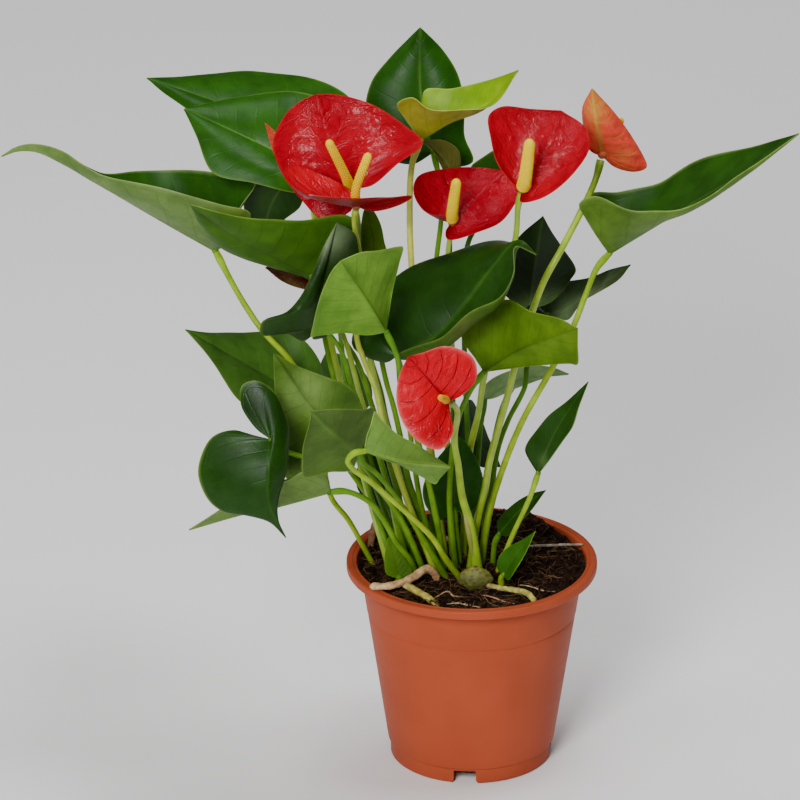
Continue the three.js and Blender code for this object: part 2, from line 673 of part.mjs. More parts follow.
// The middle surface of a blade, as points, faces and the loop of points round its margin.
function bladeSurface({ rib, left, right, arch = [0, 0], lobe = 0.3 }) {
  const ribLine = spline(rib);
  const joint = ribLine.getPointAt(0);
  const tip = ribLine.getPointAt(1);
  const forward = tip.clone().sub(joint).normalize();
  const points = [joint];
  const faces = [];
  // The rows near the lobe fan out from the joint, the others from points along the rib.
  const ribIndex = [];
  for (let row = 0; row < marginSteps; row++) {
    const along = (row / marginSteps - lobe) / (1 - lobe);
    if (along <= 0) {
      ribIndex.push(0);
    } else {
      points.push(ribLine.getPointAt(along));
      ribIndex.push(points.length - 1);
    }
  }
  points.push(tip);
  const tipIndex = points.length - 1;
  ribIndex.push(tipIndex);

  const loops = [left, right].map((margin, half) => {
    const edge = spline([rib[0], ...margin, rib.at(-1)]);
    const rows = ribIndex.map((index, row) => [points[index], edge.getPointAt(row / marginSteps)]);
    const up = new THREE.Vector3();
    for (const [inner, outer] of rows) up.add(forward.clone().cross(outer.clone().sub(inner)));
    up.normalize().multiplyScalar(half === 0 ? arch[0] : -arch[1]);
    const grid = rows.map(([inner, outer], row) => {
      if (row === 0) return Array(ribSteps + 1).fill(0);
      if (row === marginSteps) return Array(ribSteps + 1).fill(tipIndex);
      const line = [ribIndex[row]];
      for (let column = 1; column <= ribSteps; column++) {
        const across = column / ribSteps;
        const lift = 4 * across * (1 - across) * Math.sin((Math.PI * row) / marginSteps);
        points.push(inner.clone().lerp(outer, across).addScaledVector(up, lift));
        line.push(points.length - 1);
      }
      return line;
    });
    const face = (a, b, c) => {
      if (a !== b && b !== c && a !== c) faces.push(...(half === 0 ? [a, b, c] : [a, c, b]));
    };
    for (let row = 0; row < marginSteps; row++) {
      for (let column = 0; column < ribSteps; column++) {
        const [a, b] = [grid[row][column], grid[row][column + 1]];
        const [c, d] = [grid[row + 1][column + 1], grid[row + 1][column]];
        face(a, d, c);
        face(a, c, b);
      }
    }
    return grid.map((line) => line.at(-1));
  });
  // Seen from above, the loop runs from the joint round the right margin and back by the left.
  const loop = [...loops[1], ...loops[0].slice(1, -1).reverse()];
  return { points, faces, loop };
}

// The surface made solid: both faces stand half the thickness off it, along its normals.
function blade(shape, thickness) {
  const { points, faces, loop } = bladeSurface(shape);
  const normals = points.map(() => new THREE.Vector3());
  for (let k = 0; k < faces.length; k += 3) {
    const [a, b, c] = faces.slice(k, k + 3).map((index) => points[index]);
    const normal = b.clone().sub(a).cross(c.clone().sub(a));
    for (const index of faces.slice(k, k + 3)) normals[index].add(normal);
  }
  const stand = (sign) => points.map((point, index) =>
    point.clone().addScaledVector(normals[index].clone().normalize(), (sign * thickness) / 2));
  const count = points.length;
  const all = [...faces];
  for (let k = 0; k < faces.length; k += 3) {
    all.push(faces[k] + count, faces[k + 2] + count, faces[k + 1] + count);
  }
  loop.forEach((a, k) => {
    const b = loop[(k + 1) % loop.length];
    all.push(a + count, b + count, b, a + count, b, a);
  });
  return solidFrom([...stand(1), ...stand(-1)], all);
}

const ball = (point, radius) => {
  const geometry = new THREE.IcosahedronGeometry(radius, 0);
  geometry.rotateX(0.25);
  geometry.rotateY(0.4);
  geometry.translate(...point);
  return solidOf(geometry);
};

// The point that a stalk reaches below the soil, straight on from where it enters.
function rootEnd(stem, depth) {
  const [above, entry] = stem.slice(-2).map(vector);
  return entry.clone().addScaledVector(entry.clone().sub(above).normalize(), depth).toArray();
}

// A stalk thickens evenly from the blade down to the soil.
function stalk(joint, stem, girth = stalkGirth) {
  const radiusAt = (along) => THREE.MathUtils.lerp(...girth, along * along);
  return rod([joint, ...stem, rootEnd([joint, ...stem], sunk)], radiusAt);
}

// The straight hole in the soil that a stalk stands in.
function stalkHole({ rib, stem, girth = stalkGirth }) {
  const line = [rib[0], ...stem];
  return rod([rootEnd(line, -holeTop), rootEnd(line, sunk + clearance)],
    () => girth[1] + holeSpare, stalkSides, 1);
}

// ---- pot and soil -------------------------------------------------------------------------

const wallRadius = (z) => footRadius + wallFlare * z;

function makePot() {
  const lipUnder = potHeight - rimDrop;
  const step = 0.5;
  const outer = [
    [0, 0], [restDiscRadius, 0], [restDiscRadius + 2, floorUnderside],
    [footRadius - 2.4, floorUnderside], [footRadius - 1.7, 0], [footRadius, 0],
    [wallRadius(footHeight) - step, footHeight - step], [wallRadius(footHeight), footHeight],
    [wallRadius(stackLine), stackLine], [wallRadius(stackLine) + step / 2, stackLine + step],
    [wallRadius(lipUnder), lipUnder],
  ];
  const rim = [
    [rimRadius - 0.9, lipUnder + 0.2], [rimRadius, lipUnder + 1],
    [rimRadius - 0.2, potHeight - 1.4], [rimRadius - 1.4, potHeight - 0.2],
    [rimRadius - 3.6, potHeight], [rimRadius - rimWidth, potHeight - 1.4],
    [rimRadius - rimWidth, soilLevel - 1.5],
  ];
  const floorTop = floorUnderside + floorThickness;
  const inside = (z) => wallRadius(z) - wallThickness;
  const inner = [
    [inside(lipUnder), soilLevel - 4], [inside(stackLine), stackLine],
    [inside(floorTop), floorTop], [restDiscRadius + 3.5, floorTop],
    [restDiscRadius + 1, floorThickness], [0, floorThickness],
  ];
  let pot = revolve([...outer, ...rim, ...inner], potSides);
  for (let k = 0; k < notchCount; k++) {
    pot = pot.subtract(footNotch((notchTurn + (360 * k) / notchCount - 90) * turn));
  }
  for (let k = 0; k < drainCount; k++) {
    const angle = ((k + 0.5) * 360 / drainCount) * turn;
    const drill = new THREE.CylinderGeometry(drainRadius, drainRadius, 6, 8);
    drill.rotateX(Math.PI / 2);
    drill.translate(drainCircle * Math.cos(angle), drainCircle * Math.sin(angle), floorTop - 1);
    pot = pot.subtract(solidOf(drill));
  }
  return pot;
}

// A cut through the foot ring, with its two lower corners rounded outwards.
function footNotch(angle) {
  const half = notchWidth / 2;
  const round = 2;
  const outline = new THREE.Shape();
  outline.moveTo(-half - round, -1);
  outline.lineTo(half + round, -1);
  outline.lineTo(half + round, 0);
  outline.absarc(half + round, round, round, -Math.PI / 2, Math.PI, true);
  outline.lineTo(half, notchHeight);
  outline.lineTo(-half, notchHeight);
  outline.lineTo(-half, round);
  outline.absarc(-half - round, round, round, 0, -Math.PI / 2, true);
  const cut = new THREE.ExtrudeGeometry(outline,
    { depth: 8, bevelEnabled: false, curveSegments: 3 });
  cut.rotateX(Math.PI / 2);
  cut.translate(0, -footRadius + 4, 0);
  cut.rotateZ(angle + Math.PI / 2);
  return solidOf(cut);
}

// Height of the soil: level at the wall, with a mound at the crown, a heap along the back and
// small lumps.
function soilHeight(x, y) {
  const bell = (distance, spread) => Math.exp(-((distance / spread) ** 2));
  const away = Math.hypot(x - moundCentre[0], y - moundCentre[1]);
  const heap = heapHeights[0] * bell(x, heapSpreads[0])
    + heapHeights[1] * bell(x - heapCentre[0], heapSpreads[1]);
  const lumps = 0.8 * Math.sin(x * 0.31 + 1.3) * Math.cos(y * 0.27 - 0.6);
  return soilLevel + moundHeight * bell(away, moundSpread)
    + heap * bell(y - heapCentre[1], heapSpreads[2]) + lumps;
}

function makeSoil(standing) {
  const brim = rimRadius - rimWidth - clearance;
  const inside = (z) => wallRadius(z) - wallThickness - clearance;
  const floorTop = floorUnderside + floorThickness + clearance;
  const ring = (radius, zOf) => Array.from({ length: potSides }, (_, k) => {
    const [x, y] = [Math.cos, Math.sin].map((f) => radius * f((2 * Math.PI * k) / potSides));
    return new THREE.Vector3(x, y, zOf(x, y));
  });
  const rings = [
    ring(restDiscRadius, () => floorThickness + clearance),
    ring(restDiscRadius + 4, () => floorTop),
    ring(inside(floorTop), () => floorTop),
    ring(inside(soilLevel - 5) - 0.4, () => soilLevel - 5),
    ring(brim, () => soilLevel - 1),
    ...[0.97, 0.8, 0.6, 0.4, 0.2].map((share) => ring(brim * share, soilHeight)),
  ];
  let soil = skin(rings, new THREE.Vector3(0, 0, floorThickness + clearance),
    new THREE.Vector3(0, 0, soilHeight(0, 0)));
  for (const piece of standing) soil = soil.subtract(stalkHole(piece));
  return soil;
}

// ---- plant --------------------------------------------------------------------------------

// A leaf thickens into a knuckle where the blade meets the stalk.
function makeLeaf({ rib, left, right, arch, lobe, stem, girth = stalkGirth }) {
  const knuckle = ball(rib[0], 1.45 * girth[0]);
  return blade({ rib, left, right, arch, lobe }, leafThickness)
    .add(knuckle).add(stalk(rib[0], stem, girth));
}

const collarRadius = 2.2;
const floretRows = 8;
const floretSides = 7;

// A bloom comes apart where its tissues change: red spathe, yellow spadix, green stalk.
function makeBloom({ rib, left, right, arch, lobe, stem, girth = [1.5, 2], spadix, size,
  fused }) {
  const shape = { rib, left, right, arch, lobe };
  const spathe = blade(shape, spatheThickness).add(ball(rib[0], collarRadius));
  const keepClear = blade(shape, spatheThickness + 2 * clearance)
    .add(ball(rib[0], collarRadius + clearance));
  const taper = (along) => (along > 0.93 ? 0.55 : Math.min(0.55 + 4 * along, 1 - 0.12 * along));
  const relief = (side, step) => 1 + ((side + step) % 2 ? 0.07 : -0.05);
  const radiusAt = (along, side, step) =>
    THREE.MathUtils.lerp(...size, along) * taper(along) * relief(side, step);
  // The spadix stands on the collar, just clear of it.
  const [joint, next] = [rib[0], spadix[0]].map(vector);
  const reach = fused ? 0 : collarRadius + clearance;
  const start = joint.clone().addScaledVector(next.sub(joint).normalize(), reach).toArray();
  const rodOfFlorets = rod([start, ...spadix], radiusAt, floretSides, floretRows);
  return {
    spathe: fused ? spathe.add(rodOfFlorets) : spathe,
    spadix: rodOfFlorets.subtract(keepClear),
    stalk: stalk(rib[0], stem, girth).subtract(keepClear),
  };
}

// ---- roots, stub and twig -----------------------------------------------------------------

const roots = {
  rootPink: {
    line: [
      [-16, -20.5, 96], [-18, -21, 103.5], [-22, -23.5, 107], [-27.5, -29, 105.8],
      [-34, -34, 104.7], [-41, -36.5, 104], [-49, -35.5, 103.6],
    ],
    girth: [2.1, 1.8], tint: 'root',
    branch: {
      line: [[-32.5, -33, 103.4], [-27, -38.5, 102.6], [-21, -44, 101.2], [-15.5, -48, 97]],
      girth: [1.8, 1.4],
    },
  },
  twig: {
    line: [[22, 16, 96], [25, 16, 99.6], [39, 15.5, 101.3], [54, 13.7, 102.7]],
    girth: [0.8, 0.6], tint: 'twig',
  },
};
// The cut foot of an old leaf, with a young root from its side.
const stub = {
  centre: [1.5, -28.5, 104.8], radii: [8.6, 3.4, 5.9], lean: -18,
  line: [[7, -30, 101.5], [13.5, -33, 101.4], [20, -35, 101.3], [26.5, -39, 101.2], [30, -43.5, 99]],
  girth: [1.2, 1.5],
};

// With spare room it is the shape of the hole for a root, which is longer at both ends too.
function plainRoot({ line, girth }, spare = 0) {
  const root = rod(line, (along) => THREE.MathUtils.lerp(...girth, along) + spare, 6, 6);
  if (spare === 0) return root;
  const end = (point, radius) => ball(point, radius + 3 * spare);
  return root.add(end(line[0], girth[0])).add(end(line.at(-1), girth[1]));
}

function makeRoot({ branch, ...root }, spare = 0) {
  const main = plainRoot(root, spare);
  return branch ? main.add(plainRoot(branch, spare)) : main;
}

function makeStub(spare = 0) {
  const geometry = new THREE.SphereGeometry(1, 10, 6);
  geometry.scale(...stub.radii.map((radius) => radius + spare));
  geometry.rotateX(stub.lean * turn);
  geometry.translate(...stub.centre);
  return solidOf(geometry).add(plainRoot(stub, spare));
}

// ---- scene graph --------------------------------------------------------------------------

function addPiece(group, name, solid, tint, place = [0, 0, 0], roughness = 0.5) {
  const geometry = geometryOf(solid);
  geometry.translate(...place.map((value) => -value));
  const material = new THREE.MeshStandardMaterial({
    color: tints[tint], roughness, metalness: 0, flatShading: true,
  });
  const mesh = new THREE.Mesh(geometry, material);
  mesh.name = name;
  mesh.position.set(...place);
  group.add(mesh);
}

const object = new THREE.Group();
object.name = 'pottedAnthurium';
const holder = new THREE.Group();
holder.name = 'holder';
const plant = new THREE.Group();
plant.name = 'plant';
object.add(holder, plant);

let soil = makeSoil([...Object.values(leaves), ...Object.values(blooms)]);
for (const root of Object.values(roots)) soil = soil.subtract(makeRoot(root, clearance));
soil = soil.subtract(makeStub(clearance));
addPiece(holder, 'pot', makePot(), 'terracotta', [0, 0, 0], 0.45);
addPiece(holder, 'soil', soil, 'soil', [0, 0, 0], 1);

for (const [name, leaf] of Object.entries(leaves)) {
  addPiece(plant, name, makeLeaf(leaf), leaf.tint, leaf.rib[0], 0.4);
}
for (const [name, bloom] of Object.entries(blooms)) {
  const { spathe, spadix, stalk: peduncle } = makeBloom(bloom);
  const joint = bloom.rib[0];
  addPiece(plant, `${name}Spathe`, spathe, bloom.tint, joint, 0.25);
  if (!bloom.fused) {
    addPiece(plant, `${name}Spadix`, spadix, bloom.spadixTint ?? 'yellow', joint, 0.6);
  }
  addPiece(plant, `${name}Stalk`, peduncle, 'stem', joint, 0.45);
}
for (const [name, root] of Object.entries(roots)) {
  addPiece(plant, name, makeRoot(root), root.tint, root.line[0], 0.8);
}
addPiece(plant, 'crownStub', makeStub(), 'olive', stub.centre, 0.7);

export default object;
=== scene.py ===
import math

import bpy
import numpy as np
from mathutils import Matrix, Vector


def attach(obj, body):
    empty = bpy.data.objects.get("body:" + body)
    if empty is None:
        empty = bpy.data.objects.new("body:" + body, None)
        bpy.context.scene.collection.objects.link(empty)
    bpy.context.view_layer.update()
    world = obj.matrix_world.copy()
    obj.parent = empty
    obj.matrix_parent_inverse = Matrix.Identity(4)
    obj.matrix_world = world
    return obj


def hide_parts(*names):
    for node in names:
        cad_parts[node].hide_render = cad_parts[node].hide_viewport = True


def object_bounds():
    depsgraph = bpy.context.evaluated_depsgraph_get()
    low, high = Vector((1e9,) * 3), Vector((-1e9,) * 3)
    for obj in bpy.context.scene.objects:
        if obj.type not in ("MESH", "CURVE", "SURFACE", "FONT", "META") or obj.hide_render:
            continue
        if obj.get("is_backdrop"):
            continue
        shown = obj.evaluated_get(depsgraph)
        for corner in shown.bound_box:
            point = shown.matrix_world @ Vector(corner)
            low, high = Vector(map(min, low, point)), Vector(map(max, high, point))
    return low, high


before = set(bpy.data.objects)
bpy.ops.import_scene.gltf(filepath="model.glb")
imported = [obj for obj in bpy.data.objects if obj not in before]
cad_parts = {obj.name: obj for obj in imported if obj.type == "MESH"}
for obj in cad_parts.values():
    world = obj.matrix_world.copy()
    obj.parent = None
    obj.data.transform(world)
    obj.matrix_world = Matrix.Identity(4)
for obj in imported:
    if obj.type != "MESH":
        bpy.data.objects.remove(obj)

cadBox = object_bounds()
rng = np.random.default_rng(12)
mm = 0.001


def tone(text):
    # sRGB to linear: ((c + 0.055) / 1.055) ^ 2.4, and c / 12.92 in the dark
    c = np.array([int(text[k:k + 2], 16) for k in (0, 2, 4)]) / 255
    return np.where(c > 0.04045, ((c + 0.055) / 1.055) ** 2.4, c / 12.92)


def tonesOf(texts):
    return [tone(text) for text in texts]


def mix(a, b, share):
    share = np.asarray(share)[..., None]
    return a * (1 - share) + b * share


def threeTones(tones, share, low, high):
    # the first tone turns into the second up to low, and that into the third from high on
    start = mix(tones[0], tones[1], np.clip(share / low, 0, 1))
    return mix(start, tones[2], np.clip((share - high) / (1 - high), 0, 1))


def unit(v):
    return v / np.maximum(np.linalg.norm(v, axis=-1, keepdims=True), 1e-9)


def bell(distance, width=1):
    # exp(-(distance / width)^2)
    return np.exp(-(distance / width) ** 2)


def turnsOf(count):
    return np.linspace(0, 2 * np.pi, count, endpoint=False)


def lengthAlong(path):
    return np.append(0, np.cumsum(np.linalg.norm(np.diff(path, axis=0), axis=1)))


def curveAt(points, shares, spanSteps=24):
    # Centripetal Catmull-Rom: the gaps between points count by their square roots. Each span
    # is b + t1 s + (3(c - b) - 2 t1 - t2) s^2 + (2(b - c) + t1 + t2) s^3, and the shares are
    # then taken of its arc length.
    p = np.array(points, float)
    p = np.vstack([2 * p[0] - p[1], p, 2 * p[-1] - p[-2]])
    gap = np.sqrt(np.linalg.norm(np.diff(p, axis=0), axis=1))[:, None]
    a, b, c, d = p[:-3], p[1:-2], p[2:-1], p[3:]
    g0, g1, g2 = gap[:-2], gap[1:-1], gap[2:]
    t1 = ((b - a) / g0 - (c - a) / (g0 + g1) + (c - b) / g1) * g1
    t2 = ((c - b) / g1 - (d - b) / (g1 + g2) + (d - c) / g2) * g1
    s = np.linspace(0, 1, spanSteps, endpoint=False)[None, :, None]
    b, c, t1, t2 = (v[:, None] for v in (b, c, t1, t2))
    cubic = b + t1 * s + (3 * (c - b) - 2 * t1 - t2) * s**2 + (2 * (b - c) + t1 + t2) * s**3
    dense = np.vstack([cubic.reshape(-1, 3), p[-2]])
    length = lengthAlong(dense)
    at = np.asarray(shares) * length[-1]
    return np.stack([np.interp(at, length, dense[:, k]) for k in range(3)], 1)


def noiseAt(points, size, seed):
    # smooth noise: a few sines along fixed directions, of about the given size, from -1 to 1
    pick = np.random.default_rng(seed)
    waves = unit(pick.normal(size=(6, 3))) * pick.uniform(0.7, 1.6, (6, 1)) * 2 * np.pi / size
    return np.sin(points @ waves.T + pick.uniform(0, 6.3, 6)).mean(-1) * 1.6


def newObject(name, points, faces):
    mesh = bpy.data.meshes.new(name)
    mesh.from_pydata((np.asarray(points) * mm).tolist(), [], faces)
    piece = bpy.data.objects.new(name, mesh)
    bpy.context.scene.collection.objects.link(piece)
    return piece


def newMesh(name, points, faces, material, colours=None, uv=None, sharp=None):
    # faces is a list of point indices; uv is one pair for each corner of each face; edges
    # that turn by more than sharp degrees stay crisp
    piece = newObject(name, points, faces)
    mesh = piece.data
    mesh.shade_smooth()
    if sharp:
        mesh.set_sharp_from_angle(angle=math.radians(sharp))
    if colours is not None:
        layer = mesh.attributes.new('tissue', 'FLOAT_COLOR', 'POINT')
        layer.data.foreach_set('color', np.asarray(colours, np.float32).ravel())
    if uv is not None:
        layer = mesh.uv_layers.new(name='blade')
        layer.data.foreach_set('uv', np.asarray(uv, np.float32).ravel())
    mesh.materials.append(material)
    return piece


def stand(piece, slot, *nodes):
    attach(piece, 'root')
    if nodes:
        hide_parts(*nodes)
    return piece


class Parts:
    # points, faces and colours of several surfaces that become one mesh
    def __init__(self):
        self.points, self.faces, self.colours, self.uv, self.count = [], [], [], [], 0

    def add(self, points, faces, colours, under=0.5, uv=None):
        # under goes to the colours' alpha: 1 on a blade's underside, 0 on its upper side
        self.points.append(points)
        self.faces += [[k + self.count for k in face] for face in faces]
        colours = np.broadcast_to(colours, (len(points), 3))
        self.colours.append(np.column_stack([colours, np.broadcast_to(under, len(points))]))
        self.uv.append(np.zeros((sum(len(face) for face in faces), 2)) if uv is None else uv)
        self.count += len(points)

    def make(self, name, material, sharp=None):
        return newMesh(name, np.vstack(self.points), self.faces, material,
                       np.vstack(self.colours), np.vstack(self.uv), sharp)


def rings(radii, heights, turns):
    # points of rings about the Z axis, ring by ring
    return np.stack([np.outer(radii, np.cos(turns)), np.outer(radii, np.sin(turns)),
                     np.outer(heights, np.ones(len(turns)))], -1).reshape(-1, 3)


def ringFaces(rows, sides, poles=False):
    # Four corners for each cell between neighbouring rings. Each end is one face, or with
    # poles the triangles to one of the two points that follow the rings.
    at = np.arange(rows * sides).reshape(rows, sides)
    after = np.roll(at, -1, 1)
    faces = np.stack([at[:-1], after[:-1], after[1:], at[1:]], -1).reshape(-1, 4).tolist()
    if not poles:
        return faces + [at[0, ::-1].tolist(), at[-1].tolist()]
    low = np.full(sides, rows * sides)
    return (faces + np.column_stack([after[0], at[0], low]).tolist()
            + np.column_stack([at[-1], after[-1], low + 1]).tolist())


def tubeSurface(path, radii, sides, relief=1):
    # Rings square to the path. Each ring's first direction is the last one's, turned no more
    # than the path turns. radii is one per ring; relief is a factor per ring and side.
    way = unit(np.gradient(path, axis=0))
    side = unit(np.cross(way[0], [0.31, 0.2, 0.93] if abs(way[0][2]) < 0.9 else [1, 0, 0]))
    sideways = []
    for step in way:
        side = unit(side - step * (side @ step))
        sideways.append(side)
    sideways = np.array(sideways)[:, None]
    other = np.cross(way[:, None], sideways)
    angle = turnsOf(sides)[None, :, None]
    reach = (np.asarray(radii)[:, None] * relief)[..., None]
    points = path[:, None] + (sideways * np.cos(angle) + other * np.sin(angle)) * reach
    return points.reshape(-1, 3), ringFaces(len(path), sides)


# How a blade is divided, from the joint to the tip and from the rib out to the margin; widths
# in millimetres.
blade = dict(rows=54, lobe=0.3, waveSize=26, ribWidth=1.1, ribSink=0.35, sharp=58,
             across=[0, 0.05, 0.11, 0.18, 0.26, 0.34, 0.42, 0.5, 0.58, 0.66, 0.74, 0.82, 0.89,
                     0.945, 0.98, 1],
             quilts=11, quiltBend=0.9, marginFrom=0.972, marginFade=0.02, marginShare=0.6)


def bladeMiddle(shape, wave, seed):
    # Rows run from the rib out to both margins. Rows nearer the lobe than the share called
    # lobe start at the joint. A point at w of a row is rib (1 - w) + margin w, lifted by
    # arch * 4 w (1 - w) sin(pi t), and waved along the margin by wave * w^2 sin(pi t)^0.5.
    t, w, rib = np.linspace(0, 1, blade['rows'] + 1), np.array(blade['across']), shape['rib']
    inner = curveAt(rib, np.clip((t - blade['lobe']) / (1 - blade['lobe']), 0, 1))
    forward = unit(inner[-1] - inner[0])
    halves = []
    for margin, turned, arch in zip(('left', 'right'), (1, -1), shape.get('arch', (0, 0))):
        outer = curveAt([rib[0], *shape[margin], rib[-1]], t)
        up = unit(np.cross(forward, outer - inner).sum(0)) * turned
        body = inner[:, None] * (1 - w)[:, None] + outer[:, None] * w[:, None]
        lift = arch * np.outer(np.sin(np.pi * t), 4 * w * (1 - w))
        waved = np.outer(np.sin(np.pi * t) ** 0.5, w**2)
        lift = lift + wave * waved * noiseAt(body, blade['waveSize'], seed + turned)
        halves.append(body + up * lift[..., None])
    return (np.concatenate([halves[0][:, :0:-1], halves[1]], 1),
            np.concatenate([-w[:0:-1], w]), t)


def bladeNet(rows, columns, ribStart):
    # the index of each grid point once those at the joint and at the tip are one
    at = np.arange(rows * columns).reshape(rows, columns)
    middle = columns // 2
    at[0] = at[:ribStart, middle] = at[0, middle]
    at[-1] = at[-1, middle]
    used, at = np.unique(at, return_inverse=True)
    return used, at.reshape(rows, columns)


def cornersOf(grid):
    return grid[:-1, :-1], grid[:-1, 1:], grid[1:, 1:], grid[1:, :-1]


def bladeSolid(parts, shape, thick, tones, rib=0.5, veins=0.06, seed=1, wave=0.5, tonesAndPaintedLight=None):
    # Both faces stand off the middle by half the thickness, less towards the margin:
    # thick / 2 (1 - w^4 / 2). The rib is a ridge exp(-(d / width)^2) on the underside, and the
    # blade bulges a little between side veins that leave the rib forwards.
    # tones: upper side, underside, margin, rib
    grid, across, t = bladeMiddle(shape, wave, seed)
    rows, columns = grid.shape[:2]
    used, at = bladeNet(rows, columns, int(np.sum(t <= blade['lobe'])))
    quads = np.stack(cornersOf(at), -1).reshape(-1, 4)
    middle = grid.reshape(-1, 3)[used]
    spots = np.stack(np.broadcast_arrays(across[None] * 0.5 + 0.5, t[:, None]), -1)
    spots = np.stack(cornersOf(spots), -2).reshape(-1, 4, 2)

    normal = np.zeros_like(middle)
    for one in ((0, 1, 2), (0, 2, 3)):
        a, b, c = (middle[quads[:, k]] for k in one)
        face = np.cross(b - a, c - a)
        for k in one:
            np.add.at(normal, quads[:, k], face)
    normal = unit(normal)

    w = np.abs(np.broadcast_to(across[None], (rows, columns)).reshape(-1)[used])
    along = np.broadcast_to(t[:, None], (rows, columns)).reshape(-1)[used]
    reach = np.linalg.norm(grid - grid[:, columns // 2, None], axis=-1)[:, -1:]
    away = (np.abs(across)[None] * reach).reshape(-1)[used]
    half = thick / 2 * (1 - 0.5 * w**4)
    ridge = rib * bell(away, blade['ribWidth']) * (1 - 0.7 * along)
    phase = along * blade['quilts'] - blade['quiltBend'] * w**1.5
    quilt = np.cos(2 * np.pi * phase) * np.sin(np.pi * w) ** 0.7
    quilt = quilt * veins * np.sin(np.pi * along)
    top = middle + normal * (half - quilt - blade['ribSink'] * ridge)[:, None]
    under = middle - normal * (half + quilt + ridge)[:, None]

    patch = noiseAt(middle, 38, seed + 7) * 0.5 + noiseAt(middle, 9, seed + 9) * 0.25
    margin = np.clip((w - blade['marginFrom']) / blade['marginFade'], 0, 1)
    sides = []
    for own, blots, ribShare, width, thins in ((tones[0], 0.22, 0.55, 0.7, 0.5),
                                               (tones[1], 0.16, 0.5, 0.9, 0)):
        colour = mix(own * (1 + blots * patch[:, None]), tones[2], blade['marginShare'] * margin)
        sides.append(mix(colour, tones[3], ribShare * bell(away, width) * (1 - thins * along)))
    # patches of another tone: some are the tissue's own colour, some are painted light and painted
    # shade
    if tonesAndPaintedLight:
        sides = tonesAndPaintedLight(middle, w, *sides)

    count = len(middle)
    faces, uv = [], []
    for quad, spot in zip(quads.tolist(), spots):
        keep = [k for k in range(4) if quad[k] != quad[k - 1]]
        if len(keep) < 3:
            continue
        faces += [[quad[k] for k in keep], [quad[k] + count for k in reversed(keep)]]
        uv += [spot[keep], spot[keep[::-1]]]
    loop = [int(k) for k in (*at[:, 0], *at[-2:0:-1, -1])]
    for a, b in zip(loop, loop[1:] + loop[:1]):
        faces.append([a, a + count, b + count, b])
        uv.append(np.array([[0, 0.5]] * 4))
    parts.add(np.vstack([top, under]), faces, np.vstack(sides), np.repeat([0, 1], count),
              np.vstack(uv))


stalk = dict(sunk=9, rings=90, sides=14, knuckle=0.3, knuckleAt=5, knuckleWidth=4, groove=0.10,
             grooveAt=1.2, grooveWidth=0.5)


def stalkPath(joint, stem):
    # straight on into the soil from where the stalk enters it
    above, entry = np.array([joint, *stem][-2:], float)
    foot = entry + unit(entry - above) * stalk['sunk']
    return curveAt([joint, *stem, foot], np.linspace(0, 1, stalk['rings']))


def stalkSolid(parts, joint, stem, girth, tones, start=0, seed=1):
    # The radius grows as along^2. The knuckle under the blade is a bell on the radius, and a
    # groove runs down one side. tones: at the blade, in the middle, at the soil
    path = stalkPath(joint, stem)
    along, gone = np.linspace(0, 1, len(path)), lengthAlong(path)
    path, along, gone = (v[gone >= start] for v in (path, along, gone))
    radii = (girth[0] + (girth[1] - girth[0]) * along**2)
    radii = radii * (1 + stalk['knuckle'] * bell(gone - stalk['knuckleAt'], stalk['knuckleWidth']))
    radii = radii * (1 + 0.04 * noiseAt(path, 18, seed))
    angle = turnsOf(stalk['sides'])
    groove = 1 - stalk['groove'] * bell(angle - stalk['grooveAt'], stalk['grooveWidth'])
    groove = groove + 0.02 * np.cos(3 * angle)
    points, faces = tubeSurface(path, radii, stalk['sides'], groove[None])
    colours = np.repeat(threeTones(tones, along, 0.35, 0.72), stalk['sides'], 0)
    parts.add(points, faces, colours * (1 + 0.10 * noiseAt(points, 12, seed + 3))[:, None])


def ballSolid(parts, centre, radius, colour):
    # rings of a globe, closed by a point at each pole
    lifts = np.linspace(-np.pi / 2, np.pi / 2, 12)[1:-1]
    ball = rings(np.cos(lifts), np.sin(lifts), turnsOf(20))
    points = np.vstack([ball, [[0, 0, -1], [0, 0, 1]]]) * radius + centre
    parts.add(points, ringFaces(10, 20, poles=True), colour)


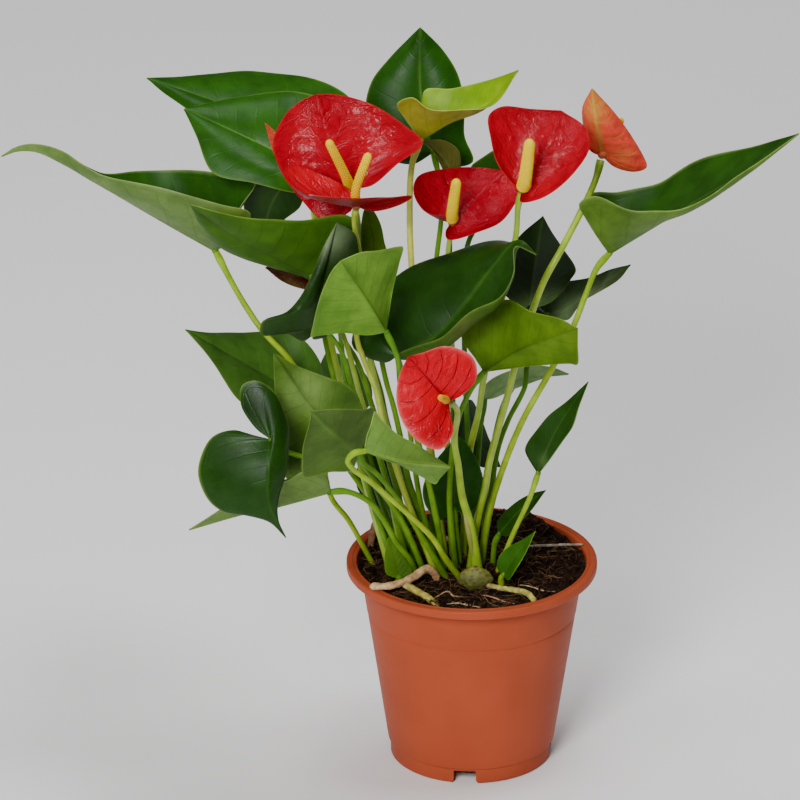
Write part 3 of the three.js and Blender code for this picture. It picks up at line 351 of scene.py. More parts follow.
class Nodes:
    # a short way to write a node tree
    def __init__(self, name):
        self.material = bpy.data.materials.new(name)
        self.material.use_nodes = True
        self.tree = self.material.node_tree
        self.tree.nodes.clear()
        out = self.tree.nodes.new('ShaderNodeOutputMaterial')
        self.shader = self.tree.nodes.new('ShaderNodeBsdfPrincipled')
        self.tree.links.new(self.shader.outputs[0], out.inputs[0])

    def put(self, socket, value):
        if isinstance(value, bpy.types.NodeSocket):
            self.tree.links.new(value, socket)
        else:
            socket.default_value = value

    def node(self, kind, inputs=(), output=0, **settings):
        made = self.tree.nodes.new('ShaderNode' + kind)
        for key, value in settings.items():
            setattr(made, key, value)
        for key, value in dict(inputs).items():
            self.put(made.inputs[key], value)
        return made.outputs[output]

    def math(self, operation, *values):
        return self.node('Math', enumerate(values), operation=operation)

    def times(self, a, b):
        return self.math('MULTIPLY', a, b)

    def plus(self, a, b):
        return self.math('ADD', a, b)

    def line(self, value, slope, start):
        return self.math('MULTIPLY_ADD', value, slope, start)

    def ramp(self, value, low, high, start=0.0, end=1.0):
        return self.node('MapRange', enumerate((value, low, high, start, end)),
                         interpolation_type='SMOOTHSTEP')

    def blend(self, share, a, b, kind='MIX'):
        return self.node('Mix', {0: share, 6: a, 7: b}, 2, data_type='RGBA', blend_type=kind)

    def tint(self, base, colour):
        return self.blend(1.0, base, colour, 'MULTIPLY')

    def tissue(self):
        # a piece's own colours, and the mask of its underside
        colour = self.node('Attribute', output='Color', attribute_name='tissue')
        return colour, colour.node.outputs['Alpha']

    def place(self, scale=(1, 1, 1)):
        at = self.node('TexCoord', output='Object')
        return self.node('Mapping', {0: at, 3: scale}) if scale != (1, 1, 1) else at

    def noise(self, size, detail=3.0, rough=0.55, scale=(1, 1, 1)):
        # size is the width of a blot in millimetres
        return self.node('TexNoise', {'Vector': self.place(scale), 'Scale': 1000 / size,
                                      'Detail': detail, 'Roughness': rough})

    def cells(self, count, output=0, feature='F1'):
        # count cells to the metre
        return self.node('TexVoronoi', {'Vector': self.place(), 'Scale': count}, output,
                         feature=feature)

    def bump(self, height, depth, strength):
        # depth in millimetres
        return self.node('Bump', {'Strength': strength, 'Distance': depth * mm,
                                  'Height': height})

    def set(self, **values):
        for key, value in values.items():
            self.put(self.shader.inputs[key.replace('_', ' ')], value)
        return self.material


def sideVeins(n, count, bend):
    # Lines along the rows of a blade: the share along less a bend, as w^1.5, so that they run
    # forwards. Gives masks of the veins, the rib and the vein that gathers them beside the
    # margin, the share w out to the margin and the share along.
    spot = n.node('SeparateXYZ', {0: n.node('UVMap', uv_map='blade')})
    along = spot.node.outputs[1]
    w = n.math('ABSOLUTE', n.line(spot, 2.0, -1.0))
    wander = n.line(n.noise(9, 2), 0.03, -0.015)
    bent = n.times(n.math('POWER', w, 1.5), bend)
    phase = n.math('SUBTRACT', n.plus(along, wander), bent)
    fold = n.math('PINGPONG', n.times(phase, float(count)), 0.5)
    veins = n.times(n.ramp(fold, 0.012, 0.075, 1.0, 0.0), n.ramp(w, 0.82, 0.93, 1.0, 0.0))
    offMargin = n.math('ABSOLUTE', n.math('SUBTRACT', n.plus(w, wander), 0.9))
    gathering = n.ramp(offMargin, 0.004, 0.018, 0.7, 0.0)
    return veins, n.ramp(w, 0.006, 0.035, 1.0, 0.0), gathering, w, along


def leafSkin():
    # paler veins above, darker ones with a fine net below
    n = Nodes('leafSkin')
    tissue, underSide = n.tissue()
    veins, rib, gathering, _, along = sideVeins(n, 11, 0.09)
    veins = n.times(n.math('MAXIMUM', veins, gathering), n.ramp(along, 0.04, 0.14))
    net = n.ramp(n.cells(420.0, feature='DISTANCE_TO_EDGE'), 0.0, 0.12, 1.0, 0.0)
    mottle = n.noise(14, 4, 0.6)
    base = n.tint(tissue, n.blend(n.ramp(mottle, 0.3, 0.7), (0.72, 0.78, 0.66, 1),
                                  (1.18, 1.14, 1.12, 1)))
    paler, darker = n.tint(base, (1.7, 1.45, 1.6, 1)), n.tint(base, (0.62, 0.74, 0.5, 1))
    lines = n.math('MAXIMUM', n.times(veins, 0.7), n.times(rib, 0.8))
    upper = n.blend(n.times(lines, 0.22), base, paler)
    lower = n.blend(n.times(lines, 0.7), base, darker)
    lower = n.blend(n.times(net, 0.18), lower, darker)
    height = n.line(n.times(lines, n.line(underSide, 2.0, -1.0)), 0.55,
                    n.line(n.noise(2.2, 3), 0.35, n.times(net, -0.10)))
    height = n.plus(height, n.times(mottle, 0.9))
    rough = n.plus(n.times(underSide, 0.2), n.ramp(n.noise(20, 3), 0.3, 0.7, 0.3, 0.42))
    return n.set(Base_Color=n.blend(n.ramp(underSide, 0.45, 0.55), upper, lower),
                 Roughness=rough, Normal=n.bump(height, 0.35, 0.35), Specular_IOR_Level=0.11,
                 Subsurface_Weight=0.04, Subsurface_Scale=0.002,
                 Subsurface_Radius=(0.35, 0.6, 0.1))


def spatheSkin(name, count, vein, gloss, wrinkle, ridge=0.3, crease=1.4):
    # vein is the tint of the veins and its share; wrinkle the depth of the folds between them
    # in mm, of which ridge is the part of the veins and crease that of the fine crumple
    n = Nodes(name)
    tissue, underSide = n.tissue()
    veins, rib, _, w, along = sideVeins(n, count, 0.16)
    veins = n.times(veins, n.ramp(along, 0.03, 0.12))
    stretch = n.node('CombineXYZ', {0: n.times(w, 2.6), 1: n.times(along, 9.0)})
    folds = n.node('TexNoise', {'Vector': stretch, 'Scale': 1.6, 'Detail': 4.0,
                                'Roughness': 0.6, 'Distortion': 0.8})
    crumple = n.noise(5.5, 4, 0.6)
    # painted shade: darker in the hollows of the folds
    base = n.blend(n.ramp(folds, 0.35, 0.75, 0.35, 0.0), tissue,
                   n.tint(tissue, (0.62, 0.35, 0.42, 1)))
    lines = n.math('MAXIMUM', n.times(veins, 0.85), rib)
    base = n.blend(n.times(lines, vein[3]), base, (*vein[:3], 1))
    soft = n.times(folds, 2.4)
    fine = n.line(crumple, crease, n.times(n.cells(260.0, feature='SMOOTH_F1'), 0.5))
    height = n.plus(n.line(lines, -ridge, soft), fine)
    return n.set(Base_Color=base, Roughness=n.line(underSide, 0.1, 0.45),
                 Normal=n.bump(height, wrinkle, 0.8), Coat_Weight=gloss, Coat_Roughness=0.12,
                 Coat_Normal=n.bump(soft, wrinkle, 0.8), Specular_IOR_Level=0.02,
                 Subsurface_Weight=0.05, Subsurface_Scale=0.002,
                 Subsurface_Radius=(1.0, 0.2, 0.15))


def plainSkin(name, size, dark, light, roughness, depth, **more):
    # the tissue's own colour, darker and lighter in blots, with a fine grain in the light
    n = Nodes(name)
    blots, fine = n.noise(size, 4, 0.6), n.noise(size * 0.16, 3, 0.6)
    shade = n.blend(n.ramp(blots, 0.3, 0.7), (*dark, 1), (*light, 1))
    height = n.line(blots, 1.2, n.times(fine, 0.6))
    rough = n.ramp(fine, 0.3, 0.7, roughness - 0.06, roughness + 0.06)
    return n.set(Base_Color=n.tint(n.tissue()[0], shade), Roughness=rough,
                 Normal=n.bump(height, depth, 0.7), **more)


leafMaterial = leafSkin()
spatheMaterial = spatheSkin('spatheSkin', 6, (0.34, 0.001, 0.008, 0.35), 0.27, 0.75)
veinedMaterial = spatheSkin('spatheVeined', 7, (0.44, 0.004, 0.012, 0.28), 0.15, 0.7,
                            ridge=1.7, crease=0.5)
salmonMaterial = spatheSkin('spatheBack', 6, (0.50, 0.36, 0.06, 0.3), 0.08, 0.4)
stalkMaterial = plainSkin('stalkSkin', 9, (0.82, 0.86, 0.7), (1.12, 1.1, 1.1), 0.36, 0.12,
                          Subsurface_Weight=0.1, Subsurface_Scale=0.003,
                          Subsurface_Radius=(0.6, 0.8, 0.2))
spadixMaterial = plainSkin('spadixSkin', 3, (0.95, 0.9, 0.7), (1.0, 1.0, 0.9), 0.6, 0.04,
                           Specular_IOR_Level=0.06, Subsurface_Weight=0.15,
                           Subsurface_Scale=0.002, Subsurface_Radius=(1.0, 0.7, 0.2))
rootMaterial = plainSkin('rootSkin', 2.4, (0.55, 0.48, 0.42), (1.2, 1.2, 1.16), 0.62, 0.3)
litterMaterial = plainSkin('litterSkin', 5, (0.6, 0.55, 0.5), (1.1, 1.1, 1.1), 0.8, 0.2,
                           Specular_IOR_Level=0.1)
print('materials made')

# Shapes in millimetres: the rib from the joint to the tip, the two margins, the stalk down
# to the soil. arch is the lift of the left and right half; girth is the radius of the stalk
# at the blade and at the soil.
leaves = {
    'leafBackHigh': dict(
        rib=[(-72, 38, 301), (-115, 58, 312), (-156, 72, 322)],
        left=[(-61, 26, 294), (-74, 22, 290), (-100, 28, 298), (-135, 54, 312), (-148, 66, 317)],
        right=[(-56, 58, 305), (-59, 70, 313), (-77, 88, 315), (-105, 96, 316), (-138, 84, 318)],
        stem=[(-61, 36, 263), (-53, 20, 218), (-49, 14, 202), (-44, 12, 185), (-41, 10, 170),
              (-29, 8, 129), (-23, 6, 101)],
        arch=(3, 3)),
    'leafUpperLeft': dict(
        rib=[(-75, 6, 300), (-102, 12, 313), (-137, 20, 327)],
        left=[(-71, 2, 293), (-85, -6, 295), (-105, -6, 300), (-123, -2, 304), (-131, 10, 318)],
        right=[(-60, 26, 303), (-64, 34, 322), (-82, 34, 330), (-97, 36, 329), (-121, 30, 327)],
        stem=[(-74, 10, 274), (-69, 4, 241), (-62, -6, 221), (-55, -8, 209), (-48, -8, 186),
              (-36, -5, 140), (-27, -3, 100)],
        arch=(4, 4)),
    'leafShaded': dict(
        rib=[(-87, 18, 294), (-96, 22, 277), (-100, 26, 257)],
        left=[(-81, 18, 287), (-82, 20, 277), (-90, 22, 269)],
        right=[(-97, 22, 291), (-108, 24, 285), (-108, 26, 270)],
        stem=[(-76, 24, 284), (-69, 26, 270), (-65, 22, 233), (-59, 14, 179), (-44, 10, 128),
              (-33, 7, 99)]),
    'leafFarLeft': dict(
        rib=[(-122, -10, 267), (-142, -14, 281), (-163, -18, 296), (-182, -22, 310), (-194, -26, 319),
             (-205, -30, 326), (-214, -32, 327), (-221, -34, 325)],
        left=[(-110, -18, 280), (-105, -28, 294), (-118, -36, 301), (-142, -42, 311), (-161, -41, 315),
              (-175, -38, 318), (-184, -35, 322), (-191, -34, 327), (-199, -33, 330), (-208, -33, 331),
              (-215, -33, 329)],
        right=[(-110, 4, 284), (-103, 14, 293), (-124, 22, 294), (-152, 20, 296), (-168, 6, 300),
               (-177, -4, 305), (-186, -14, 314), (-193, -20, 322), (-203, -26, 327), (-213, -31, 328)],
        stem=[(-115, -12, 253), (-108, -15, 241), (-99, -20, 229), (-86, -24, 215), (-74, -22, 182),
              (-68, -13, 141), (-59, -6, 124), (-48, 2, 98)],
        arch=(-3, -3),
        girth=(1.5, 1.3)),
    'leafPaleLeft': dict(
        rib=[(-76, -46, 270), (-102, -54, 287), (-118, -58, 299), (-132, -66, 314)],
        left=[(-64, -46, 276), (-56, -46, 283), (-55, -48, 292), (-58, -54, 303), (-81, -61, 304),
              (-109, -66, 308), (-123, -67, 312)],
        right=[(-73, -36, 261), (-84, -30, 266), (-91, -28, 268), (-103, -30, 272), (-119, -38, 281),
               (-128, -54, 298)],
        stem=[(-73, -42, 255), (-70, -36, 232), (-66, -28, 209), (-57, -21, 174), (-45, -14, 128),
              (-36, -12.5, 99)],
        arch=(-3, -3)),
    'leafFoldedLeft': dict(
        rib=[(-73, -66, 254), (-70, -68, 279), (-64, -66, 305)],
        left=[(-79, -64, 244), (-89, -72, 252), (-99, -78, 253), (-99, -80, 261), (-87, -76, 264),
              (-78, -74, 277), (-71, -70, 292), (-67, -68, 300)],
        right=[(-75, -58, 242), (-63, -55, 246), (-54, -54, 257), (-52, -54, 271), (-54, -58, 288),
               (-56, -62, 298)],
        stem=[(-67, -56, 243), (-62, -50, 232), (-57, -42, 210), (-45, -27, 169), (-30, -11, 101)],
        arch=(4, 2)),
    'leafPaleFront': dict(
        rib=[(-41, -72, 252), (-51, -88, 277), (-62, -100, 300)],
        left=[(-40, -70, 258), (-38, -72, 273), (-35, -75, 287), (-33, -79, 298), (-35, -81, 299),
              (-44, -88, 300), (-53, -95, 302)],
        right=[(-49, -76, 252), (-62, -83, 256), (-73, -90, 258), (-76, -92, 258), (-75, -93, 264),
               (-71, -97, 282), (-66, -100, 295)],
        stem=[(-36, -66, 237), (-34, -58, 216), (-25, -42, 178), (-17, -27, 134), (-13, -13, 102)],
        arch=(2, 2),
        girth=(1.3, 1.7)),
    'leafCentre': dict(
        rib=[(-36, -50, 230), (-19, -56, 242), (-6, -54, 256), (9, -50, 276), (21, -54, 291),
             (29, -62, 287)],
        left=[(-42, -44, 224), (-57, -36, 229), (-53, -26, 241), (-34, -20, 260), (-11, -18, 269),
              (10, -26, 279)],
        right=[(-34, -64, 238), (-15, -72, 250), (-2, -76, 264), (12, -76, 271), (18, -72, 282),
               (19, -64, 292)],
        stem=[(-33, -44, 215), (-30, -28, 182), (-25, -14, 139), (-17, -7.5, 101)],
        arch=(7, -7)),
    'leafDarkRight': dict(
        rib=[(27, -2, 234), (30, -6, 263), (33, -8, 284)],
        left=[(21, 2, 234), (14, 4, 241), (14, 2, 256), (22, -4, 272)],
        right=[(37, 2, 235), (47, 6, 246), (49, 6, 250), (42, 0, 265), (37, -5, 275)],
        stem=[(26, 4, 212), (22, 13, 191), (15, 15, 176), (10, 12, 154), (7, 8, 124), (5, 5, 101)]),
    'leafSlimRight': dict(
        rib=[(36, 10, 225), (54, 8, 236), (75, 6, 253)],
        left=[(27, 14, 225), (21, 16, 229), (30, 20, 233), (42, 24, 236), (56, 20, 240), (66, 12, 248)],
        right=[(40, 4, 226), (46, -2, 228), (52, -2, 237), (60, 0, 241), (70, 3, 247)],
        stem=[(32, 4, 215), (26, -6, 206), (25, -8, 196), (17, -6, 177), (12, -4, 160), (9, -2, 134),
              (5, -1.5, 101)]),
    'leafPaleRight': dict(
        rib=[(5, -50, 222), (23, -66, 241), (48, -86, 260)],
        left=[(15, -56, 226), (29, -68, 233), (45, -82, 240), (48, -85, 241), (48, -87, 252)],
        right=[(1, -46, 227), (-6, -44, 239), (2, -46, 250), (15, -50, 259), (26, -66, 260),
               (40, -80, 262)],
        stem=[(0, -46, 213), (-6, -40, 197), (-9, -32, 179), (-11, -22, 143), (-8, -12, 102)],
        arch=(2, 2),
        girth=(1.3, 1.6)),
    'leafGreyRight': dict(
        rib=[(6, 6, 183), (20, 5, 193), (46, 2, 198)],
        left=[(11, 10, 182), (21, 10, 187), (35, 6, 195)],
        right=[(6, 2, 192), (14, 0, 199), (27, -1, 203), (39, 0, 202)],
        stem=[(4, 7, 166), (2, 8, 129), (1, 6.5, 101)]),
    'leafLowRight': dict(
        rib=[(31, -40, 165), (39, -44, 188), (54, -48, 216)],
        left=[(26, -34, 171), (25, -34, 175), (30, -36, 186), (36, -40, 195), (45, -44, 205)],
        right=[(35, -46, 173), (42, -52, 187), (47, -54, 196), (50, -52, 205)],
        stem=[(27, -34, 149), (20, -24, 127), (12.5, -12, 101)],
        girth=(1.2, 1.3)),
    'leafDarkLow': dict(
        rib=[(13, -14, 121), (23, -17, 135), (35, -20, 147)],
        left=[(12, -10, 125), (15, -10, 130), (21, -12, 137), (29, -17, 144)],
        right=[(17, -20, 123), (22, -22, 130), (28, -22, 137)],
        stem=[(11, -11, 115), (10, -6, 101)]),
    'leafSmallLow': dict(
        rib=[(15, -28, 106), (21, -30, 117), (30, -32, 131)],
        left=[(12, -24, 108), (13, -24, 114), (17, -25, 119), (24, -29, 125)],
        right=[(17, -34, 106), (21, -36, 113), (25, -35, 120)],
        stem=[(14, -27, 104), (14, -25, 99)]),
    'leafDarkBack': dict(
        rib=[(-41, 26, 109), (-40, 29, 130), (-39, 31, 150)],
        left=[(-47, 26, 110), (-49, 28, 117), (-55, 30, 124), (-56, 31, 132), (-52, 32, 142),
              (-45, 32, 148)],
        right=[(-38, 24, 110), (-34, 26, 119), (-34, 28, 130), (-35, 30, 142)],
        stem=[(-39, 23, 105), (-36.5, 19.5, 99)],
        girth=(1.2, 1.4)),
    'leafMidLow': dict(
        rib=[(-9, -15, 135), (-8, -13, 152), (-7, -10, 171)],
        left=[(-15, -20, 131), (-22, -22, 139), (-24, -22, 148), (-21, -18, 156), (-14, -12, 164)],
        right=[(-3, -12, 131), (4, -10, 137), (5, -9, 148), (1, -9, 160), (-4, -9, 168)],
        stem=[(-8, -13, 125), (-6, -6, 102)],
        girth=(1.3, 1.7)),
    'leafDarkMiddle': dict(
        rib=[(-3, 14, 179), (2, 18, 157), (14, 22, 140)],
        left=[(0, 18, 177), (5, 22, 163), (10, 24, 150)],
        right=[(-7, 10, 174), (-10, 10, 162), (-4, 14, 149), (6, 19, 141)],
        stem=[(-4, 16, 162), (-4, 12, 138), (-4.5, 7, 101)]),
    'leafMatteLeft': dict(
        rib=[(-82, -16, 195), (-107, -22, 213), (-136, -30, 235)],
        left=[(-86, -32, 190), (-100, -42, 196), (-111, -44, 205), (-122, -38, 220), (-130, -33, 229)],
        right=[(-75, -8, 194), (-72, -2, 203), (-80, 4, 214), (-94, 6, 218), (-113, -4, 222),
               (-127, -22, 230)],
        stem=[(-70, -11, 170), (-58, -6.5, 150), (-46, -2, 128), (-38, 0.5, 100)],
        arch=(2, 2)),
    'leafDarkLeft': dict(
        rib=[(-56, 30, 167), (-63, 32, 180), (-70, 34, 196)],
        left=[(-62, 30, 166), (-68, 30, 171), (-71, 32, 178), (-73, 34, 188)],
        right=[(-51, 30, 167), (-48, 32, 172), (-50, 34, 182), (-58, 35, 190), (-64, 35, 194)],
        stem=[(-51, 27, 149), (-42, 21, 123), (-29, 15, 100)]),
    'leafLitLeft': dict(
        rib=[(-61, -50, 187), (-79, -57, 211), (-87, -60, 225), (-94, -62, 237)],
        left=[(-54, -46, 190), (-53, -46, 204), (-58, -50, 214), (-68, -53, 220), (-82, -58, 228)],
        right=[(-69, -40, 167), (-80, -43, 162), (-88, -48, 165), (-89, -54, 186), (-93, -58, 212)],
        stem=[(-54, -42, 173), (-42, -29, 149), (-31, -17, 122), (-24, -9, 101)],
        arch=(2, 2)),
    'leafGreyFront': dict(
        rib=[(-54, -78, 193), (-65, -90, 208), (-76, -98, 223)],
        left=[(-51, -76, 197), (-48, -78, 206), (-47, -82, 218), (-50, -84, 218), (-58, -91, 221),
              (-68, -96, 223)],
        right=[(-57, -80, 185), (-68, -87, 187), (-77, -92, 187), (-80, -94, 188), (-80, -97, 202),
               (-77, -98, 216)],
        stem=[(-52, -74, 186), (-46, -66, 177), (-37, -52, 159), (-25, -33, 130), (-13, -18.5, 101)],
        arch=(2, 2)),
    'leafBrightFront': dict(
        rib=[(-51, -92, 200), (-35, -97, 197), (-18, -92, 193), (-11, -88, 190)],
        left=[(-41, -90, 194), (-34, -88, 191), (-23, -86, 183), (-18, -85, 180), (-16, -85.5, 183)],
        right=[(-50, -90, 207), (-48, -88, 212), (-46, -86, 218), (-44, -86, 215), (-36, -86, 206),
               (-26, -86, 200), (-19, -86, 195)],
        stem=[(-56, -94, 200), (-59, -93, 196), (-57, -89, 190), (-48, -79, 178), (-39, -67, 164),
              (-29, -53, 148), (-19, -40, 131), (-12, -29, 114), (-5, -21, 100)],
        arch=(1, 1),
        girth=(1.25, 1.7)),
    'leafHeart': dict(
        rib=[(-95, -90, 205), (-96, -99, 194), (-96, -103, 179), (-88, -98, 158)],
        left=[(-102, -86, 209), (-109, -80, 217), (-109, -76, 226), (-101, -76, 229), (-93, -78, 224),
              (-87, -82, 209), (-87, -88, 193), (-93, -94, 178), (-94, -97, 169)],
        right=[(-103, -88, 206), (-113, -86, 208), (-123, -86, 204), (-129, -90, 189), (-125, -94, 177),
               (-118, -96, 171), (-105, -99, 170), (-96, -99, 167)],
        stem=[(-86, -74, 191), (-72, -66, 183), (-58, -60, 176), (-48, -53, 166), (-34, -36, 139),
              (-22.5, -15.5, 100)],
        arch=(2, 2)),
    'leafOliveLow': dict(
        rib=[(-68, -66, 167), (-94, -70, 161), (-110, -74, 159), (-134, -80, 154)],
        left=[(-68, -70, 175), (-71, -75, 181), (-80, -78, 183), (-86, -80, 180), (-105, -82, 172),
              (-122, -82, 163)],
        right=[(-72, -52, 166), (-89, -54, 168), (-107, -62, 164), (-123, -74, 159)],
        stem=[(-61, -63, 166), (-54, -57, 161), (-48, -49, 153), (-42, -38, 139), (-36, -28.8, 123),
              (-30, -23.2, 112), (-26.3, -15.5, 100)],
        girth=(1.4, 1.6)),
    'leafTop': dict(
        rib=[(-19, 20, 305), (-23, 30, 318), (-25, 36, 333), (-25, 42, 360)],
        left=[(-29, 22, 298), (-44, 26, 302), (-51, 34, 318), (-48, 40, 333), (-39, 44, 344),
              (-30, 44, 354)],
        right=[(-14, 18, 299), (0, 20, 300), (-4, 26, 311), (-4, 32, 324), (-7, 38, 337),
               (-14, 42, 348)],
        stem=[(-16, 18, 292), (-15, 16, 274), (-17, 14, 255), (-20, 10, 228), (-21, 8, 182),
              (-20, 8, 140), (-17.5, 7, 101)],
        arch=(3, 3)),
    'leafYellowTop': dict(
        rib=[(-25, -6, 322), (-11, -6, 331), (5, -4, 337), (21, 2, 354)],
        left=[(-23, 4, 329), (-23, 12, 340), (-10, 16, 339), (7, 12, 345)],
        right=[(-29, -12, 332), (-36, -18, 345), (-29, -20, 349), (-21, -20, 343), (-4, -16, 341),
               (10, -8, 341)],
        stem=[(-29, -4, 308), (-30, -4, 280), (-29, -4, 254), (-26, -8, 220), (-21, -4, 171),
              (-16, 0, 127), (-13, 3.5, 101)],
        girth=(1.5, 1.9)),
    'leafBrownTop': dict(
        rib=[(-7, 4.5, 294), (-14, 0.8, 309), (-24, -3.2, 320)],
        left=[(-6, 4.6, 301), (-7, 2.8, 313), (-15, -1.2, 320)],
        right=[(-13, 1, 301), (-19, -3, 315)],
        stem=[(-10, 2, 280), (-11, 2, 262), (-10, 4, 225), (-9, 8, 166), (-8, 10, 128), (-8, 12, 101)]),
    'leafBehindBlooms': dict(
        rib=[(15, 22, 287), (30, 26, 294), (48, 30, 302)],
        left=[(8, 22, 290), (-1, 20, 297), (5, 24, 301), (22, 32, 307), (38, 32, 307)],
        right=[(22, 16, 286), (32, 18, 288), (41, 24, 293)],
        stem=[(6, 14, 275), (-2, 6, 265), (-4, 3, 236), (-3, 5, 183), (-1, 12, 138), (-1, 12.5, 100)]),
    'leafFarRight': dict(
        rib=[(65, 8, 258), (85, 4, 273), (107, 0, 289), (130, -4, 306), (153, -8, 326)],
        left=[(60, 24, 266), (56, 30, 279), (71, 36, 278), (89, 38, 282), (107, 34, 295),
              (129, 20, 307)],
        right=[(60, 2, 268), (52, -6, 284), (50, -12, 292), (57, -18, 298), (71, -20, 293),
               (85, -20, 291), (100, -18, 292), (124, -14, 306)],
        stem=[(59, 2, 253), (53, -8, 242), (48, -13, 230), (38, -17, 210), (24, -16, 182),
              (15, -12, 156), (8, -9, 129), (4.5, -7, 101)],
        arch=(-3, -3),
        girth=(1.4, 1.8)),
    'leafYoungOlive': dict(
        rib=[(-47, -20, 265), (-48, -22, 280), (-51, -22, 294)],
        left=[(-41, -17, 268), (-42, -17, 275), (-44, -19, 285), (-48, -21, 293)],
        right=[(-52, -23, 271), (-53, -25, 282), (-52, -24, 292)],
        stem=[(-45, -16, 252), (-45, -15, 239), (-44, -16, 218), (-41, -18, 202), (-38, -18, 191),
              (-35, -18, 177), (-29, -10, 142), (-13.5, -3.5, 102)],
        girth=(1.2, 2.0)),
    'leafSheath': dict(
        rib=[(-35, -22.5, 102), (-37, -20.5, 111), (-40, -19, 122)],
        left=[(-41, -23, 104), (-42, -21, 112), (-41, -20, 119)],
        right=[(-29, -22, 104), (-33, -20, 112), (-37, -18.8, 120)],
        stem=[(-35, -22.3, 101), (-34.8, -21.8, 99)],
        girth=(1.6, 1.6)),
}

# Each leaf's tones: upper side, underside, margin, rib. Each stalk's: at the blade, in the
# middle, at the soil.
greens = {
    'deep': ('1c3c0b', '38560f', '618130', '3f6921'),
    'mid': ('1c4706', '496327', '6f8e38', '557930'),
    'glossy': ('215006', '4d6c27', '6f9038', '598130'),
    'dark': ('1d380d', '38501d', '597327', '456127'),
    # 'black' is the dark green of leaves deep in the plant, darkened further as painted shade
    'black': ('14240a', '26390e', '455927', '384b21'),
    'sage': ('214b0a', '5f7a3c', '90a665', '6f8e45'),
    'leaf': ('305d12', '507122', '7c9e3f', '455d1d'),
    'pale': ('305d12', '375b0b', '739538', '355010'),
    'milk': ('305d12', '61892b', '81a245', '4b6921'),
    'bright': ('739738', '618235', '95ad59', '89aa45'),
    'olive': ('466812', '4d6b0c', '7c9430', '3f5410'),
    'lime': ('6f930d', '8b861f', 'b3bc59', '7c8b19'),
    'brown': ('455019', '50521f', '7c7c38', '6c7330'),
    'wing': ('21460d', '527124', '8ba655', '4b7327'),
    'matte': ('426824', '5c7838', '698138', '456527'),
    'mist': ('5f8050', '7d9a66', '8fa878', '5c7c4c'),
    'heart': ('1b3c0a', '4c6428', '7c9a3c', '2f5416'),
}
stems = {
    'green': ('5a8a1a', '668f1c', '4c7420'),
    'yellow': ('8cae24', '9fba2a', '7b9a2a'),
    'light': ('dcdc6c', 'd0d050', '93a83a'),
    'shade': ('3f6a16', '54801c', '48681e'),
}
# the tones of each leaf and of its stalk
looks = {
    'leafBackHigh': ('glossy', 'green'), 'leafUpperLeft': ('glossy', 'green'),
    'leafShaded': ('dark', 'shade'), 'leafFarLeft': ('sage', 'yellow'),
    'leafPaleLeft': ('pale', 'green'), 'leafFoldedLeft': ('dark', 'green'),
    'leafPaleFront': ('milk', 'green'), 'leafCentre': ('deep', 'green'),
    'leafDarkRight': ('black', 'shade'), 'leafSlimRight': ('black', 'shade'),
    'leafPaleRight': ('olive', 'green'), 'leafGreyRight': ('mist', 'shade'),
    'leafLowRight': ('deep', 'yellow'), 'leafDarkLow': ('deep', 'green'),
    'leafSmallLow': ('leaf', 'yellow'), 'leafMidLow': ('mid', 'green'),
    'leafDarkMiddle': ('dark', 'shade'), 'leafMatteLeft': ('matte', 'green'),
    'leafLitLeft': ('leaf', 'green'), 'leafGreyFront': ('mid', 'green'),
    'leafBrightFront': ('bright', 'yellow'), 'leafHeart': ('heart', 'green'),
    'leafOliveLow': ('sage', 'green'), 'leafTop': ('mid', 'green'),
    'leafYellowTop': ('lime', 'light'), 'leafBrownTop': ('brown', 'shade'),
    'leafBehindBlooms': ('deep', 'shade'), 'leafFarRight': ('wing', 'yellow'),
    'leafYoungOlive': ('olive', 'green'), 'leafSheath': ('olive', 'green'),
    'leafDarkLeft': ('matte', 'shade'), 'leafDarkBack': ('deep', 'shade'),
}

# Patches of another tone: the middle in millimetres, the width, the tone and how strong it is.
patches = {
    'leafFarLeft': [((-111, -29, 294), 12, '8fae3c', 0.5)],
    'leafDarkRight': [((27, -2, 232), 7, '6c8c4c', 0.7), ((36, 0, 234), 7, '6c8c4c', 0.7)],
    'leafSlimRight': [((46, 2, 228), 8, '7c9468', 0.7), ((65, 2, 242), 14, '4c5a3c', 0.6),
                      ((58, 1, 238), 6, 'a0ae80', 0.6)],
    # painted shade: the dark patch darkens the upper lobe
    'leafHeart': [((-102, -81, 218), 11, '102604', 0.7)],
    # painted light: the pale patch on the blade; painted shade: the dark patch at its right
    'leafLitLeft': [((-79, -56, 214), 11, '9fbf6c', 0.5), ((-56, -48, 204), 13, '23420e', 0.6)],
    # painted shade: the dark patch near the joint, a shadow cast by the leaf above; painted light: the
    # brighter patch towards the tip
    'leafPaleRight': [((7, -48, 244), 13, '34500c', 0.3), ((37, -77, 250), 12, '6d8f14', 0.3)],
    'leafLowRight': [((34, -43, 172), 4, '6c8c4c', 0.4)],
    'leafFoldedLeft': [((-66, -68, 298), 8, '9aac86', 0.6)],
    # the large dark patch is painted shade over the upper left of the blade
    'leafCentre': [((-6, -72, 255), 8, '6c5c30', 0.3), ((-24, -45, 253), 22, '122c06', 0.5)],
    'leafOliveLow': [((-82, -76, 175), 14, '5d7a34', 0.4)],
    'leafYellowTop': [((-25, -15, 338), 11, 'a8923c', 0.5)],
}
leafPlan = dict(thick=0.7, wave=0.7, wavelet=0.3, girth=(1.2, 1.6),
                low=('leafSheath', 'leafYoungOlive', 'leafSmallLow', 'leafDarkLow'))


# some patches are the tissue's own colour, others are painted light and painted shade
def patched(spots):
    # a patch fades as exp(-(d / width)^2) with the distance d from its middle
    def tonesAndPaintedLight(points, w, upper, lower):
        for middle, width, text, share in spots:
            part = share * bell(np.linalg.norm(points - middle, axis=1), width)
            upper, lower = mix(upper, tone(text), part), mix(lower, tone(text), part)
        return upper, lower
    return tonesAndPaintedLight


